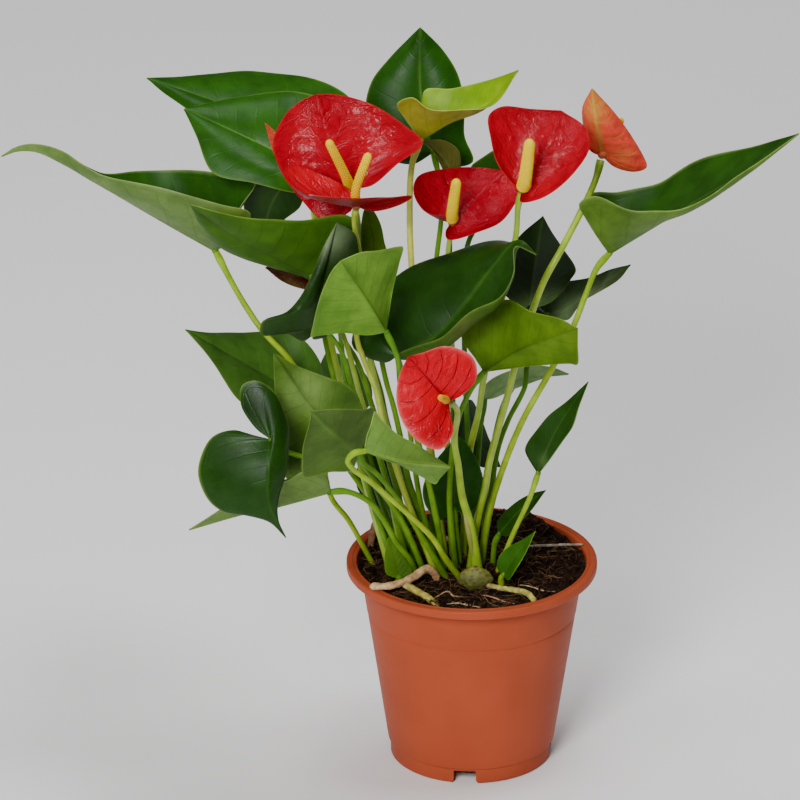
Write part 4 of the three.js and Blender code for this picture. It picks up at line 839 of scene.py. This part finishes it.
for number, (name, leaf) in enumerate(leaves.items()):
    green, stem = looks[name]
    tones, stemTones = tonesOf(greens[green]), tonesOf(stems[stem])
    parts, joint, girth = Parts(), leaf['rib'][0], leaf.get('girth', leafPlan['girth'])
    bladeSolid(parts, leaf, leafPlan['thick'], tones, seed=number * 5 + 3,
               wave=leafPlan['wavelet' if name in leafPlan['low'] else 'wave'],
               tonesAndPaintedLight=patched(patches.get(name, [])))
    stalkSolid(parts, joint, leaf['stem'], girth, stemTones, seed=number)
    ballSolid(parts, joint, 1.1 * girth[0], mix(stemTones[0], tones[0], 0.5))
    stand(parts.make(name + 'Fine', leafMaterial, blade['sharp']), 'leafTissue', name)
print('leaves made')

# As for the leaves, with the spadix from the joint to its end and its radius at both.
blooms = {
    'bloomBig': dict(
        rib=[(-58, -34, 309), (-67, -27, 330), (-74, -16, 349)],
        left=[(-57, -38, 300), (-63, -40, 297), (-71, -41, 296), (-80, -36, 303), (-90, -32, 316),
              (-94, -27, 329), (-88, -21, 341), (-81, -17, 346)],
        right=[(-48, -38, 312), (-36, -36, 322), (-24, -32, 331), (-33, -24, 337), (-48, -16, 344),
               (-64, -14, 348)],
        stem=[(-55, -28, 294), (-53, -14, 269), (-51, -9, 241), (-50, -8, 216), (-47, -8, 201),
              (-42, -10, 181), (-33, -7, 141), (-20, -2.5, 101)],
        spadix=[(-60, -46, 320), (-68, -56, 342)],
        size=(2.4, 2.0),
        arch=(-5, -5),
        girth=(1.25, 1.7)),
    'bloomLower': dict(
        rib=[(-55, -56, 309), (-66, -68, 316), (-78, -80, 325)],
        left=[(-48, -60, 308), (-35, -62, 312), (-29, -66, 318), (-42, -75, 321), (-61, -83, 324)],
        right=[(-50, -50, 308), (-57, -46, 312), (-65, -45, 317), (-78, -44, 323), (-88, -50, 326),
               (-85, -66, 324)],
        stem=[(-56, -52, 298), (-54, -48, 283), (-54, -45, 257), (-55, -46, 238), (-52, -43, 226),
              (-46, -36, 206), (-43, -32, 189), (-33, -20, 147), (-18, -13, 101)],
        spadix=[(-55, -62, 320), (-49, -64, 339)],
        size=(2.2, 2.0),
        arch=(0, -4),
        girth=(1.3, 1.8)),
    'bloomHidden': dict(
        rib=[(-79, -12, 311), (-87, -12, 322), (-98, -12, 333)],
        left=[(-78, -14, 304), (-85, -14, 303), (-94, -13, 318)],
        right=[(-71, -11, 319), (-77, -10, 327), (-93, -11, 327)],
        stem=[(-77, -14, 300), (-75, -10, 282), (-69, -13, 248), (-60, -16, 221), (-53, -15, 192),
              (-40, -11, 143), (-33, -5.5, 100)],
        spadix=[(-80, -17, 317), (-85, -18, 325)],
        size=(1.6, 1.4),
        girth=(1.2, 1.6)),
    'bloomCentre': dict(
        rib=[(-10, -16, 284), (2, -8, 294), (15, 4, 302)],
        left=[(-14, -21, 289), (-23, -24, 293), (-28, -20, 300), (-26, -10, 305), (-11, 0, 305),
              (3, 6, 303)],
        right=[(-13, -22, 282), (-12, -27, 280), (1, -27, 283), (12, -21, 286), (19, -12, 291),
               (22, -4, 296)],
        stem=[(-11, -13, 275), (-12, -11, 265), (-10, -8, 230), (-12, -3, 176), (-11, -1, 133),
              (-9, 0.5, 101)],
        spadix=[(-10, -22, 292), (-8, -28, 311)],
        size=(2.8, 2.3),
        arch=(-4, -4),
        girth=(1.25, 1.7)),
    'bloomRight': dict(
        rib=[(23, -26, 305), (34, -22, 323), (41, -14, 340)],
        left=[(18, -28, 309), (11, -27, 319), (8, -24, 330), (7, -18, 339), (13, -14, 342),
              (27, -12, 340)],
        right=[(22, -34, 302), (32, -38, 306), (46, -36, 317), (54, -28, 327), (52, -20, 334)],
        stem=[(21, -24, 296), (20, -20, 279), (16, -20, 259), (11, -16, 229), (5, -13, 201),
              (3, -10, 184), (-1, 0, 159), (-3, 4, 131), (-4, 2.5, 102)],
        spadix=[(24, -34, 314), (26, -40, 336)],
        size=(3.3, 2.5),
        arch=(-4, -4),
        girth=(1.4, 1.9)),
    'bloomBackRight': dict(
        rib=[(61, 12, 307), (58, 10, 324), (56, 14, 340)],
        left=[(67, 14, 300), (78, 20, 295), (83, 24, 296), (76, 24, 310), (67, 20, 325)],
        right=[(55, 14, 309), (53, 18, 313), (52, 20, 327)],
        stem=[(58, 8, 296), (52, 0, 285), (41, -16, 269), (34, -20, 257), (28, -22, 241),
              (20, -22, 213), (17, -21, 199), (12, -19, 178), (8, -20, 162), (6, -19, 148),
              (2, -14, 126), (-1, -9, 101)],
        spadix=[(64, 20, 309), (71, 26, 320)],
        size=(1.9, 1.6),
        arch=(-2, -2),
        girth=(1.6, 2)),
    'bloomFront': dict(
        rib=[(-13, -92, 226), (-22, -95, 239), (-31, -94, 249)],
        left=[(-13, -98, 221), (-10, -104, 215), (-16, -108, 208), (-28, -108, 214), (-36, -102, 229),
              (-35, -97, 241)],
        right=[(-6, -93, 229), (1, -89, 236), (-1, -85, 245), (-13, -84, 250), (-25, -90, 249)],
        stem=[(-8, -80, 216), (-9, -62, 192), (-7, -47, 172), (-5, -34, 150), (-1, -25, 131),
              (3, -15.5, 101)],
        spadix=[(-14, -104, 232), (-16, -118, 239)],
        size=(1.9, 1.5),
        arch=(2, 2),
        girth=(1.35, 2.7)),
    'bloomDark': dict(
        rib=[(-76, -22, 258), (-86, -26, 261), (-98, -28, 266)],
        left=[(-73, -26, 254), (-82, -32, 257), (-90, -33, 261)],
        right=[(-73, -16, 262), (-84, -14, 265), (-93, -20, 265)],
        stem=[(-71, -20, 246), (-67, -17, 221), (-61, -12, 191), (-54, -8, 157), (-39, -7, 98)],
        spadix=[(-79, -24, 263), (-85, -26, 265)],
        size=(1.2, 1.0)),
}

# Each bloom's tones: upper side, underside, margin, rib; its stalk; its spadix at the base
# and at the end.
reds = {
    'bloomBig': ('aa011c', 'a00719', 'c41f26', 'a00216'),
    'bloomLower': ('b4011a', '8b0716', 'a0121a', '7c0210'),
    'bloomHidden': ('ce4530', 'e16145', 'e77c59', 'bc593f'),
    'bloomCentre': ('a4011d', '8b0719', 'b01f26', '850216'),
    'bloomRight': ('a8011b', '990719', 'b81f26', '8c0216'),
    'bloomBackRight': ('c41c18', 'ff5440', 'f4765c', '9a9c3a'),
    'bloomFront': ('c2021c', 'a42020', 'd2544e', '98021a'),
    'bloomDark': ('3c0a0d', '524b1f', '59271f', '5d5527'),
}
bloomStems = {
    'bloomLower': ('aabc30', 'b4c233', '8fa633'),
    'bloomFront': ('98a03a', 'a0c02c', '90b42a'),
}
spadixTones = {
    'bloomBig': ('ffcc0c', 'ffd402'), 'bloomLower': ('ffd40e', 'ffd802'),
    'bloomHidden': ('dd9a30', 'e7a815'), 'bloomCentre': ('ffd00a', 'ffd802'),
    'bloomRight': ('ffd40e', 'ffda02'), 'bloomBackRight': ('e7c440', 'e7c818'),
    'bloomFront': ('c8861c', 'dca024'), 'bloomDark': ('4a1410', '5c2418'),
}
bloomPatches = {
    # painted shade: both dark patches darken the spathe's lower lobe
    'bloomBig': [((-65, -38, 300), 11, '700014', 0.8), ((-82, -36, 304), 9, '8c0018', 0.5)],
    'bloomDark': [((-87, -33, 256), 7, '6c5c2c', 0.8)],
    'bloomBackRight': [((58, 12, 331), 8, 'b8b040', 0.5), ((72, 12, 305), 6, 'b89040', 0.5)],
}
bloomSkins = {'bloomFront': veinedMaterial, 'bloomBackRight': salmonMaterial,
              'bloomHidden': salmonMaterial}
bloomPlan = dict(thick=0.8, rib=0.4, veins=0.16, wave=0.6, knuckle=2.1, girth=(1.5, 2),
                 stalkFrom=1.95)
spadixPlan = dict(rings=221, sides=96, floretWidth=3.1, floretStep=1.8, sharpness=0.8,
                  base=0.9, relief=0.18, start=2.45, fusedStart=0.5)


def spadixSolid(parts, joint, line, size, tones, start):
    # Florets stand on crossing spirals: each is a bump |cos(n a + k s) cos(n a - k s)|^0.8 of
    # the turn a and the length s, as high as 0.18 of the radius, and darker at its foot, a
    # painted shade between the florets. The end is rounded as
    # sqrt(1 - (1 - left / (1.3 radius))^2) of the length left.
    path = curveAt([joint, *line], np.linspace(0, 1, spadixPlan['rings']))
    gone = lengthAlong(path)
    path, gone = path[gone >= start], gone[gone >= start]
    share = (gone - gone[0]) / (gone[-1] - gone[0])
    left = (1 - share) * (gone[-1] - gone[0])
    taper = np.sqrt(np.clip(1 - np.clip(1 - left / (size[1] * 1.3), 0, 1) ** 2, 0.004, 1))
    rise = np.clip(0.62 + share * 9, 0, 1)
    radii = (size[0] + (size[1] - size[0]) * share) * taper * rise * (1 - 0.05 * share)
    sides = spadixPlan['sides']
    around = round(2 * np.pi * size[0] / spadixPlan['floretWidth']) * turnsOf(sides)
    phase = gone[:, None] * np.pi / spadixPlan['floretStep']
    bumps = np.abs(np.cos(around + phase) * np.cos(around - phase)) ** spadixPlan['sharpness']
    points, faces = tubeSurface(path, radii, sides,
                                spadixPlan['base'] + spadixPlan['relief'] * bumps)
    colours = np.repeat(mix(*tones, np.clip(share / 0.45, 0, 1)), sides, 0)
    # painted shade: darker at the foot of each floret
    colours = colours * (0.4 + 0.72 * bumps.reshape(-1, 1) ** 0.5)
    parts.add(points, faces, np.clip(colours, 0, 1))


def paleEdgeHighlight(amount, low):
    # the margin of the upper side turns paler from the share low on: a painted highlight along the rim
    def tonesAndPaintedLight(points, w, upper, lower):
        share = amount * np.clip((w - low) / (1 - low), 0, 1) ** 2
        return mix(upper, tone('e89a90'), share), lower
    return tonesAndPaintedLight


def addBract(parts, joint, stem, low=108, high=141):
    # a dry bract that hugs the stalk's left side between two heights, as wide as sin(pi s)^0.5
    path = stalkPath(joint, stem)
    path = path[(path[:, 2] > low) & (path[:, 2] < high)] + [-1.3, -1.2, 0]
    share = np.linspace(0, 1, len(path))
    radii = 1.5 * np.sin(np.pi * np.clip(share, 0.02, 0.98)) ** 0.5
    parts.add(*tubeSurface(path, radii, 12),
              mix(tone('a89c5c'), tone('8c9a38'), np.repeat(share, 12)))


for number, (name, bloom) in enumerate(blooms.items()):
    tones, joint = tonesOf(reds[name]), bloom['rib'][0]
    spathe, spadix, stem = Parts(), Parts(), Parts()
    tonesAndPaintedLight = paleEdgeHighlight(0.3, 0.86) if name == 'bloomFront' else patched(bloomPatches.get(name, []))
    bladeSolid(spathe, bloom, bloomPlan['thick'], tones, bloomPlan['rib'], bloomPlan['veins'],
               number * 7 + 40, bloomPlan['wave'], tonesAndPaintedLight)
    ballSolid(spathe, joint, bloomPlan['knuckle'], mix(tones[1], tone('b8a060'), 0.35))
    faded = name == 'bloomDark'
    spadixSolid(spathe if faded else spadix, joint, bloom['spadix'], bloom['size'],
                tonesOf(spadixTones[name]), spadixPlan['fusedStart' if faded else 'start'])
    stand(spathe.make(name + 'SpatheFine', bloomSkins.get(name, spatheMaterial),
                      blade['sharp']), 'fadedSpathe' if faded else 'redSpathe', name + 'Spathe')
    if not faded:
        stand(spadix.make(name + 'SpadixFine', spadixMaterial), 'spadix', name + 'Spadix')
    stalkSolid(stem, joint, bloom['stem'], bloom.get('girth', bloomPlan['girth']),
               tonesOf(bloomStems.get(name, stems['yellow'])), bloomPlan['stalkFrom'],
               number + 60)
    if name == 'bloomFront':
        addBract(stem, joint, bloom['stem'])
    stand(stem.make(name + 'StalkFine', stalkMaterial), 'stalk', name + 'Stalk')
print('blooms made')

pot = dict(height=101.5, rimRadius=60.5, rimDrop=4.4, rimWidth=5.2, footRadius=39.1, flare=0.15,
           wall=1.1, footHeight=8.2, footStep=0.8, stackLine=76, floorUnder=7.2, floorThick=1.5,
           restDisc=14, notchWidth=10.7, notchHeight=6.6, notchTurn=-5, notchCount=4,
           notchFoot=2, notchRound=0.7, drainCount=6, drainRadius=2.6, drainCircle=26,
           sides=288, sharp=38)


def wallRadius(z):
    return pot['footRadius'] + pot['flare'] * z


def arc(x, z, radius, start, end, steps):
    # points of a round corner about (x, z), from one angle in degrees to another
    turn = np.radians(np.linspace(start, end, steps))
    return [(x + radius * math.cos(a), z + radius * math.sin(a)) for a in turn]


def plasticSkin():
    # terracotta plastic: satin, slightly blotched, with a fine moulded grain and scuffs
    n = Nodes('terracottaPlastic')
    blots, grain = n.noise(30, 3, 0.5), n.noise(0.7, 2, 0.6)
    scuffs = n.noise(9, 4, 0.65, scale=(0.5, 0.5, 3.0))
    base = n.blend(n.ramp(blots, 0.3, 0.7), (*tone('a4472a'), 1), (*tone('ad4c2f'), 1))
    base = n.blend(n.ramp(scuffs, 0.62, 0.8, 0.0, 0.05), base, (*tone('c26845'), 1))
    base = n.blend(n.ramp(n.cells(95.0), 0.02, 0.06, 0.25, 0.0), base, (*tone('893c27'), 1))
    height = n.line(grain, 0.5, n.times(blots, 0.8))
    return n.set(Base_Color=base, Roughness=n.ramp(scuffs, 0.3, 0.75, 0.48, 0.54),
                 Normal=n.bump(height, 0.05, 0.5), Specular_IOR_Level=0.1,
                 Subsurface_Weight=0.05, Subsurface_Scale=0.003,
                 Subsurface_Radius=(1.0, 0.4, 0.2))


def potProfile():
    # Points of (radius, height): from the middle of the rest pad out to the foot, up the
    # outside, over the rolled rim with its groove, and down the inside to the floor's middle.
    pad, under, base = pot['restDisc'], pot['floorUnder'], pot['footRadius']
    foot, step, stack, top = (pot[key] for key in ('footHeight', 'footStep', 'stackLine', 'height'))
    rim, lip, floorTop = pot['rimRadius'], top - pot['rimDrop'], under + pot['floorThick']
    atFoot, atStack, atLip = wallRadius(foot), wallRadius(stack), wallRadius(lip)
    inner = rim - pot['rimWidth']
    underside = [(0, 0), *arc(pad - 0.4, 0.4, 0.4, -90, -10, 4), (pad + 1.8, under - 0.3),
                 (pad + 2.2, under), (base - 2.6, under), (base - 2.2, under - 0.4),
                 *arc(base - 1.2, 0.5, 0.5, 190, 270, 4), *arc(base - 0.5, 0.5, 0.5, 270, 350, 5),
                 (atFoot - step - 0.25, foot - step - 0.35), (atFoot - step + 0.05, foot - step),
                 (atFoot - 0.12, foot - 0.12), (atFoot + 0.04, foot + 0.3)]
    outside = [*((wallRadius(z), z) for z in np.linspace(foot + 3, stack - 0.8, 16)),
               (atStack - 0.3, stack - 0.1), (atStack + 0.2, stack + 0.25),
               *((wallRadius(z) + 0.15, z) for z in np.linspace(stack + 1.5, lip - 1, 7))]
    roll = [(atLip + 0.2, lip - 0.25), (atLip + 0.9, lip), (rim - 1.5, lip + 0.02),
            *arc(rim - 0.9, lip + 0.9, 0.85, -80, 0, 5), *arc(rim - 1.0, top - 1.0, 0.95, 0, 80, 7),
            (rim - 1.4, top - 0.03), (rim - 3.0, top - 0.02), (rim - 3.2, top - 0.35),
            (rim - 3.5, top - 0.35), (rim - 3.7, top), *arc(inner + 1.2, top - 1.2, 1.2, 80, 180, 7)]
    wall, onFloor = pot['wall'], wallRadius(floorTop) - pot['wall']
    inside = [(inner, lip - 0.6), (atLip - wall, lip - 3.1),
              *((wallRadius(z) - wall, z) for z in np.linspace(lip - 6, floorTop + 3, 12)),
              (onFloor - 0.3, floorTop + 0.6), (onFloor - 1, floorTop), (pad + 3.6, floorTop),
              (pad + 1, pot['floorThick']), (0, pot['floorThick'])]
    return [*underside, *outside, *roll, *inside]


def prism(outline, low, high):
    # an outline of (x, z) pushed along Y
    count = len(outline)
    points = [(x, y, z) for y in (low, high) for x, z in outline]
    faces = [list(range(count)), list(range(2 * count - 1, count - 1, -1))]
    faces += [[k + count, (k + 1) % count + count, (k + 1) % count, k] for k in range(count)]
    return np.array(points), faces


def notchTools():
    # the notches of the foot: an upright prism with rounded corners, turned about the Z axis
    half, foot, bend = pot['notchWidth'] / 2, pot['notchFoot'], pot['notchRound']
    high = pot['notchHeight'] - bend
    outline = [(-half - foot, -1), (half + foot, -1), (half + foot, 0),
               *arc(half + foot, foot, foot, -90, -180, 7), *arc(half - bend, high, bend, 0, 90, 4),
               *arc(-half + bend, high, bend, 90, 180, 4), *arc(-half - foot, foot, foot, 0, -90, 7)]
    points, faces = prism(outline, -pot['footRadius'] - 4, -pot['footRadius'] + 4)
    for k in range(pot['notchCount']):
        turn = math.radians(pot['notchTurn'] + 360 * k / pot['notchCount'])
        spin = np.array([[math.cos(turn), -math.sin(turn), 0],
                         [math.sin(turn), math.cos(turn), 0], [0, 0, 1]])
        yield newObject('cutter', points @ spin.T, faces)


def drainTools():
    for k in range(pot['drainCount']):
        turn = (k + 0.5) * 2 * math.pi / pot['drainCount']
        middle = [pot['drainCircle'] * math.cos(turn), pot['drainCircle'] * math.sin(turn)]
        circle = [(middle[0] + pot['drainRadius'] * math.cos(a),
                   middle[1] + pot['drainRadius'] * math.sin(a)) for a in turnsOf(28)]
        points, faces = prism(circle, 5, 12)
        yield newObject('cutter', points[:, [0, 2, 1]], [face[::-1] for face in faces])


def cutAway(piece, tools):
    for tool in tools:
        modifier = piece.modifiers.new('cut', 'BOOLEAN')
        modifier.object, modifier.operation, modifier.solver = tool, 'DIFFERENCE', 'EXACT'
    graph = bpy.context.evaluated_depsgraph_get()
    made = bpy.data.meshes.new_from_object(piece.evaluated_get(graph))
    piece.modifiers.clear()
    old, piece.data = piece.data, made
    for mesh in [old, *(tool.data for tool in tools)]:
        bpy.data.meshes.remove(mesh)


def makePot():
    # the profile turned about the Z axis, with the notches and drain holes cut out
    profile = np.array(potProfile())
    points = rings(*profile[1:-1].T, turnsOf(pot['sides']))
    points = np.vstack([points, profile[[0, -1]] * [0, 1] @ [[1, 0, 0], [0, 0, 1]]])
    faces = ringFaces(len(profile) - 2, pot['sides'], poles=True)
    made = newMesh('potFine', points, faces, plasticSkin())
    cutAway(made, [*notchTools(), *drainTools()])
    made.data.shade_smooth()
    made.data.set_sharp_from_angle(angle=math.radians(pot['sharp']))
    return made


stand(makePot(), 'terracottaPlastic', 'pot')
print('pot made')

soil = dict(level=98, mound=4, centre=(-8, -4), spread=26, heap=(27, 47), heaps=(3.5, 4),
            heapSpreads=(46, 17, 14), rings=90, sides=300, bottom=86)
litter = {
    'soilFibres': dict(count=800, length=(4, 15), width=(0.07, 0.2), lift=1.1, curl=0.7,
                       tones=('22130a', '8c6a48')),
    'soilCrumbs': dict(count=900, length=(1.2, 3.6), width=(0.3, 0.8), lift=0.4, curl=0.3,
                       tones=('120a05', '432a18')),
}


def soilLevel(x, y):
    # the level, a mound exp(-(distance / spread)^2), a heap along the back and low lumps, as
    # in the CAD solid
    away = np.hypot(x - soil['centre'][0], y - soil['centre'][1])
    wide, narrow, deep = soil['heapSpreads']
    heap = soil['heaps'][0] * bell(x, wide) + soil['heaps'][1] * bell(x - soil['heap'][0], narrow)
    heap = heap * bell(y - soil['heap'][1], deep)
    lumps = 0.8 * np.sin(x * 0.31 + 1.3) * np.cos(y * 0.27 - 0.6)
    return soil['level'] + soil['mound'] * bell(away, soil['spread']) + heap + lumps


def roughLevel(x, y):
    # the level with crumbs of two sizes
    flat = np.column_stack([x, y, np.zeros_like(x)])
    return soilLevel(x, y) + 0.9 * noiseAt(flat, 9, 3) + 0.8 * np.abs(noiseAt(flat, 4.2, 5))


def soilSkin():
    # dark peat, with browner crumbs and pale fibre ends in the finest grain
    n = Nodes('peat')
    crumbs, cell = n.cells(480.0), n.cells(480.0, 'Color')
    blots, threads = n.noise(7, 5, 0.7), n.noise(2.5, 2, 0.5, scale=(0.25, 2.0, 1.0))
    base = n.blend(n.ramp(blots, 0.3, 0.75), (*tone('0e0804'), 1), (*tone('2c190d'), 1))
    base = n.blend(n.ramp(n.node('SeparateColor', {0: cell}), 0.78, 0.95, 0.0, 0.6), base,
                   (*tone('4a2f1a'), 1))
    base = n.blend(n.ramp(threads, 0.7, 0.78, 0.0, 0.5), base, (*tone('6f4f32'), 1))
    height = n.line(crumbs, -2.0, n.times(blots, 2.0))
    return n.set(Base_Color=base, Roughness=n.ramp(blots, 0.3, 0.7, 0.75, 0.95),
                 Normal=n.bump(height, 0.8, 1.0), Specular_IOR_Level=0.1)


def makeSoil():
    # a disc of rings, raised by crumbs of three sizes, with its edge drawn down along the wall
    sides, level = soil['sides'], soil['level']
    reach = pot['rimRadius'] - pot['rimWidth'] - 0.4
    share = np.linspace(0, 1, soil['rings'] + 1)[1:]
    points = rings(share, 0 * share, turnsOf(sides)) * reach
    grain = 0.7 * np.abs(noiseAt(points, 2.1, 8))
    points[:, 2] = roughLevel(points[:, 0], points[:, 1]) + grain - 0.4
    edge = points[-sides:] * [1, 1, 0] / reach
    depths = [(reach, level - 1.2),
              *((wallRadius(z) - pot['wall'] - 0.8, z) for z in (level - 5.5, soil['bottom']))]
    points = np.vstack([points, *(edge * radius + [0, 0, z] for radius, z in depths),
                        [[0, 0, soilLevel(0, 0)], [0, 0, soil['bottom']]]])
    faces = ringFaces(soil['rings'] + len(depths), sides, poles=True)
    return newMesh('soilFine', points, [[face[0], *face[:0:-1]] for face in faces], soilSkin())


def makeLitter(count, length, width, lift, curl, tones):
    # short bent threads or chips, spread evenly over the soil and lying at all turns
    parts = Parts()
    r = np.sqrt(rng.uniform(0, 54**2, count))
    a = rng.uniform(0, 2 * np.pi, count)
    x, y = r * np.cos(a), r * np.sin(a)
    s = np.linspace(-0.5, 0.5, 7)
    for k in range(count):
        turn, size, bend = rng.uniform(0, 2 * np.pi), rng.uniform(*length), rng.normal(0, curl)
        line = (x[k] + size * (s * math.cos(turn) - bend * s**2 * math.sin(turn)),
                y[k] + size * (s * math.sin(turn) + bend * s**2 * math.cos(turn)))
        if (np.hypot(*line) > 54.2).any():
            continue
        ends = rng.uniform(-0.2, 1.0, 2) * lift
        rise = np.interp(s, [-0.5, 0.5], ends) + lift * 0.5 * (1 - 4 * s**2) + 0.6
        radii = rng.uniform(*width) * (1 - 0.6 * (2 * s) ** 4)
        points, faces = tubeSurface(np.column_stack([*line, roughLevel(*line) + rise]), radii, 5)
        parts.add(points, faces, mix(*tonesOf(tones), rng.uniform() ** 2), 1)
    return parts


stand(makeSoil(), 'soil', 'soil')
for name, kind in litter.items():
    stand(makeLitter(**kind).make(name, litterMaterial), 'soil')

# Each root from its foot to its end, its radius at both, and its tones along the way. The
# rootlets lie loose on the soil.
roots = {
    'rootPink': [
        dict(line=[(-16, -20.5, 96), (-18, -21, 103.5), (-22, -23.5, 107), (-27.5, -29, 105.8),
                   (-34, -34, 104.7), (-41, -36.5, 104), (-49, -35.5, 103.6)],
             girth=(2.1, 1.8), tones=('94683f', 'cca476', 'dcb888')),
        dict(line=[(-32.5, -33, 103.4), (-27, -38.5, 102.6), (-21, -44, 101.2), (-15.5, -48, 97)],
             girth=(1.8, 1.4), tones=('c8bc7a', 'bcae4c', '8a6a30')),
    ],
    'twig': [
        dict(line=[(22, 16, 96), (25, 16, 99.6), (39, 15.5, 101.3), (54, 13.7, 102.7)],
             girth=(0.8, 0.6), tones=('6a5c4c', '8f8474', '9a9080')),
    ],
}
rootlets = [
    dict(line=[(-49, 18, 96), (-48.5, 22, 101), (-47.5, 26.5, 104.5), (-46, 31, 106.5)],
         girth=(1.6, 1.9), tones=('7c5230', '9c7048', 'a87c54')),
    dict(line=[(-16, 17, 97), (-14, 17, 101.5), (-11.5, 16.5, 104.5)],
         girth=(2.0, 2.2), tones=('a88a62', 'b89a72', 'c4a880')),
    dict(line=[(-12, -44, 98), (-8, -46.5, 99.8), (-2, -48, 99.4), (4, -47.6, 98)],
         girth=(0.35, 0.25), tones=('9c8460', 'c0a884', 'a08868')),
    dict(line=[(4, -36, 99), (9, -42, 101), (15, -45, 100), (21, -44, 98)],
         girth=(0.4, 0.3), tones=('9c7058', 'b88a6c', '9c7058')),
    dict(line=[(20, -22, 98), (27, -30, 101), (34, -33, 100), (40, -30, 98)],
         girth=(0.35, 0.25), tones=('8c7454', 'b49c78', '947c5c')),
    dict(line=[(-3, -38, 99), (-9, -41, 101), (-12, -36, 101), (-20, -40, 98)],
         girth=(0.4, 0.3), tones=('8c6c50', 'ac8c68', '8c6c50')),
]
stub = dict(centre=(1.5, -28.5, 104.8), radii=(8.6, 3.4, 5.9), lean=-18)
youngRoot = dict(line=[(7, -30, 101.5), (13.5, -33, 101.4), (20, -35, 101.3), (26.5, -39, 101.2),
                       (30, -43.5, 99)],
                 girth=(1.2, 1.5), tones=('a08a5a', 'bcb85c', 'b8b050'))


def addRoot(parts, number, line, girth, tones):
    # a tube with a rounded end; its radius wanders by a tenth and its skin by 0.12 mm
    share, sides = np.linspace(0, 1, 70), 20
    path = curveAt(line, share)
    radii = np.interp(share, (0, 1), girth) * (1 + 0.10 * noiseAt(path, 6, number))
    radii = radii * np.sqrt(np.clip(1 - np.clip((share - 0.95) / 0.05, 0, 1) ** 2, 0.1, 1))
    points, faces = tubeSurface(path, radii, sides)
    outwards = unit(points - np.repeat(path, sides, 0))
    points = points + 0.12 * noiseAt(points, 2.5, number + 5)[:, None] * outwards
    parts.add(points, faces, np.repeat(threeTones(tonesOf(tones), share, 0.3, 0.7), sides, 0), 1)


def makeStub():
    # an egg shape, narrower above and dimpled, with spots that have dried, and a young root
    parts, lifts = Parts(), np.linspace(-1.5, 1.5, 36)
    ball = rings(np.cos(lifts), np.sin(lifts), turnsOf(60))
    points = ball * stub['radii']
    points[:, 0] *= 1 - 0.3 * np.clip(ball[:, 2], 0, 1)
    dimples = 0.05 * noiseAt(points, 7, 31) + 0.025 * noiseAt(points, 2.6, 32)
    points = points * (1 + dimples)[:, None]
    lean = math.radians(stub['lean'])
    turn = np.array([[1, 0, 0], [0, math.cos(lean), -math.sin(lean)],
                     [0, math.sin(lean), math.cos(lean)]])
    spots = np.clip(noiseAt(points, 1.6, 33) * 3 - 1, 0, 1)
    green = mix(tone('5c6218'), tone('7c7c26'), np.clip(ball[:, 2], 0, 1))
    parts.add(points @ turn.T + stub['centre'], ringFaces(36, 60),
              mix(green, tone('3f3018'), 0.75 * spots), 1)
    addRoot(parts, 9, **youngRoot)
    return parts.make('crownStubFine', rootMaterial)


for number, (name, lines) in enumerate(roots.items()):
    parts = Parts()
    for root in lines:
        addRoot(parts, number, **root)
    stand(parts.make(name + 'Fine', rootMaterial), 'twig' if name == 'twig' else 'root', name)
parts = Parts()
for number, root in enumerate(rootlets):
    addRoot(parts, number + 20, **root)
stand(parts.make('soilRootlets', rootMaterial), 'soil')
stand(makeStub(), 'stub', 'crownStub')
print('soil and roots made')

stage = dict(floorSize=9000, floorLevel=-0.4, world=0.06)
middle = (-30, 0, 200)
lights = {
    'keyLight': dict(place=(-500, -1600, 1200), aim=middle, size=600, power=38),
    'topLight': dict(place=(300, -100, 1700), aim=middle, size=450, power=11),
    'leftLight': dict(place=(-1400, 0, 900), aim=middle, size=600, power=2),
    'floorLight': dict(place=(0, 900, 2400), aim=(0, 1500, 0), size=1200, power=26),
}
paleFloor = Nodes('paleFloor').set(Base_Color=(0.93, 0.93, 0.93, 1), Roughness=0.95,
                                   Specular_IOR_Level=0.1)
floorCorners = np.array([(-1, -1), (1, -1), (1, 1), (-1, 1)]) * stage['floorSize']
floor = newMesh('floor', [(*corner, stage['floorLevel']) for corner in floorCorners],
                [[0, 1, 2, 3]], paleFloor)
floor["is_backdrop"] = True


def addLight(name, place, aim, size, power):
    # a soft square light; place, aim and size in millimetres, power in watts
    light = bpy.data.lights.new(name, 'AREA')
    light.shape, light.size, light.energy = 'SQUARE', size * mm, power
    made = bpy.data.objects.new(name, light)
    bpy.context.scene.collection.objects.link(made)
    made.location = np.array(place) * mm
    way = Vector(np.array(aim) - np.array(place))
    made.rotation_euler = way.to_track_quat('-Z', 'Y').to_euler()


for name, light in lights.items():
    addLight(name, **light)

world = bpy.data.worlds.new('studio')
world.use_nodes = True
sky = world.node_tree.nodes['Background'].inputs
sky['Color'].default_value = (1, 1, 1, 1)
sky['Strength'].default_value = stage['world']
bpy.context.scene.world = world

# The photograph looks down by about 24 degrees from in front.
view = dict(lift=24, distance=4000, target=(-34.6, 0, 185.2), width=382.4, film=36)
lift = math.radians(view['lift'])
camera = bpy.data.objects.new('camera', bpy.data.cameras.new('camera'))
camera.data.sensor_width = view['film']
camera.data.lens = view['film'] * view['distance'] / view['width']
camera.data.clip_end = 100
away = np.array([0, -math.cos(lift), math.sin(lift)]) * view['distance']
camera.location = (np.array(view['target']) + away) * mm
camera.rotation_euler = (math.pi / 2 - lift, 0, 0)
bpy.context.scene.collection.objects.link(camera)
bpy.context.scene.camera = camera
print('stage made')

corners = {'cad': cadBox, 'visual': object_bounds()}
({key: [[float(v) for v in corner] for corner in box]
           for key, box in corners.items()})
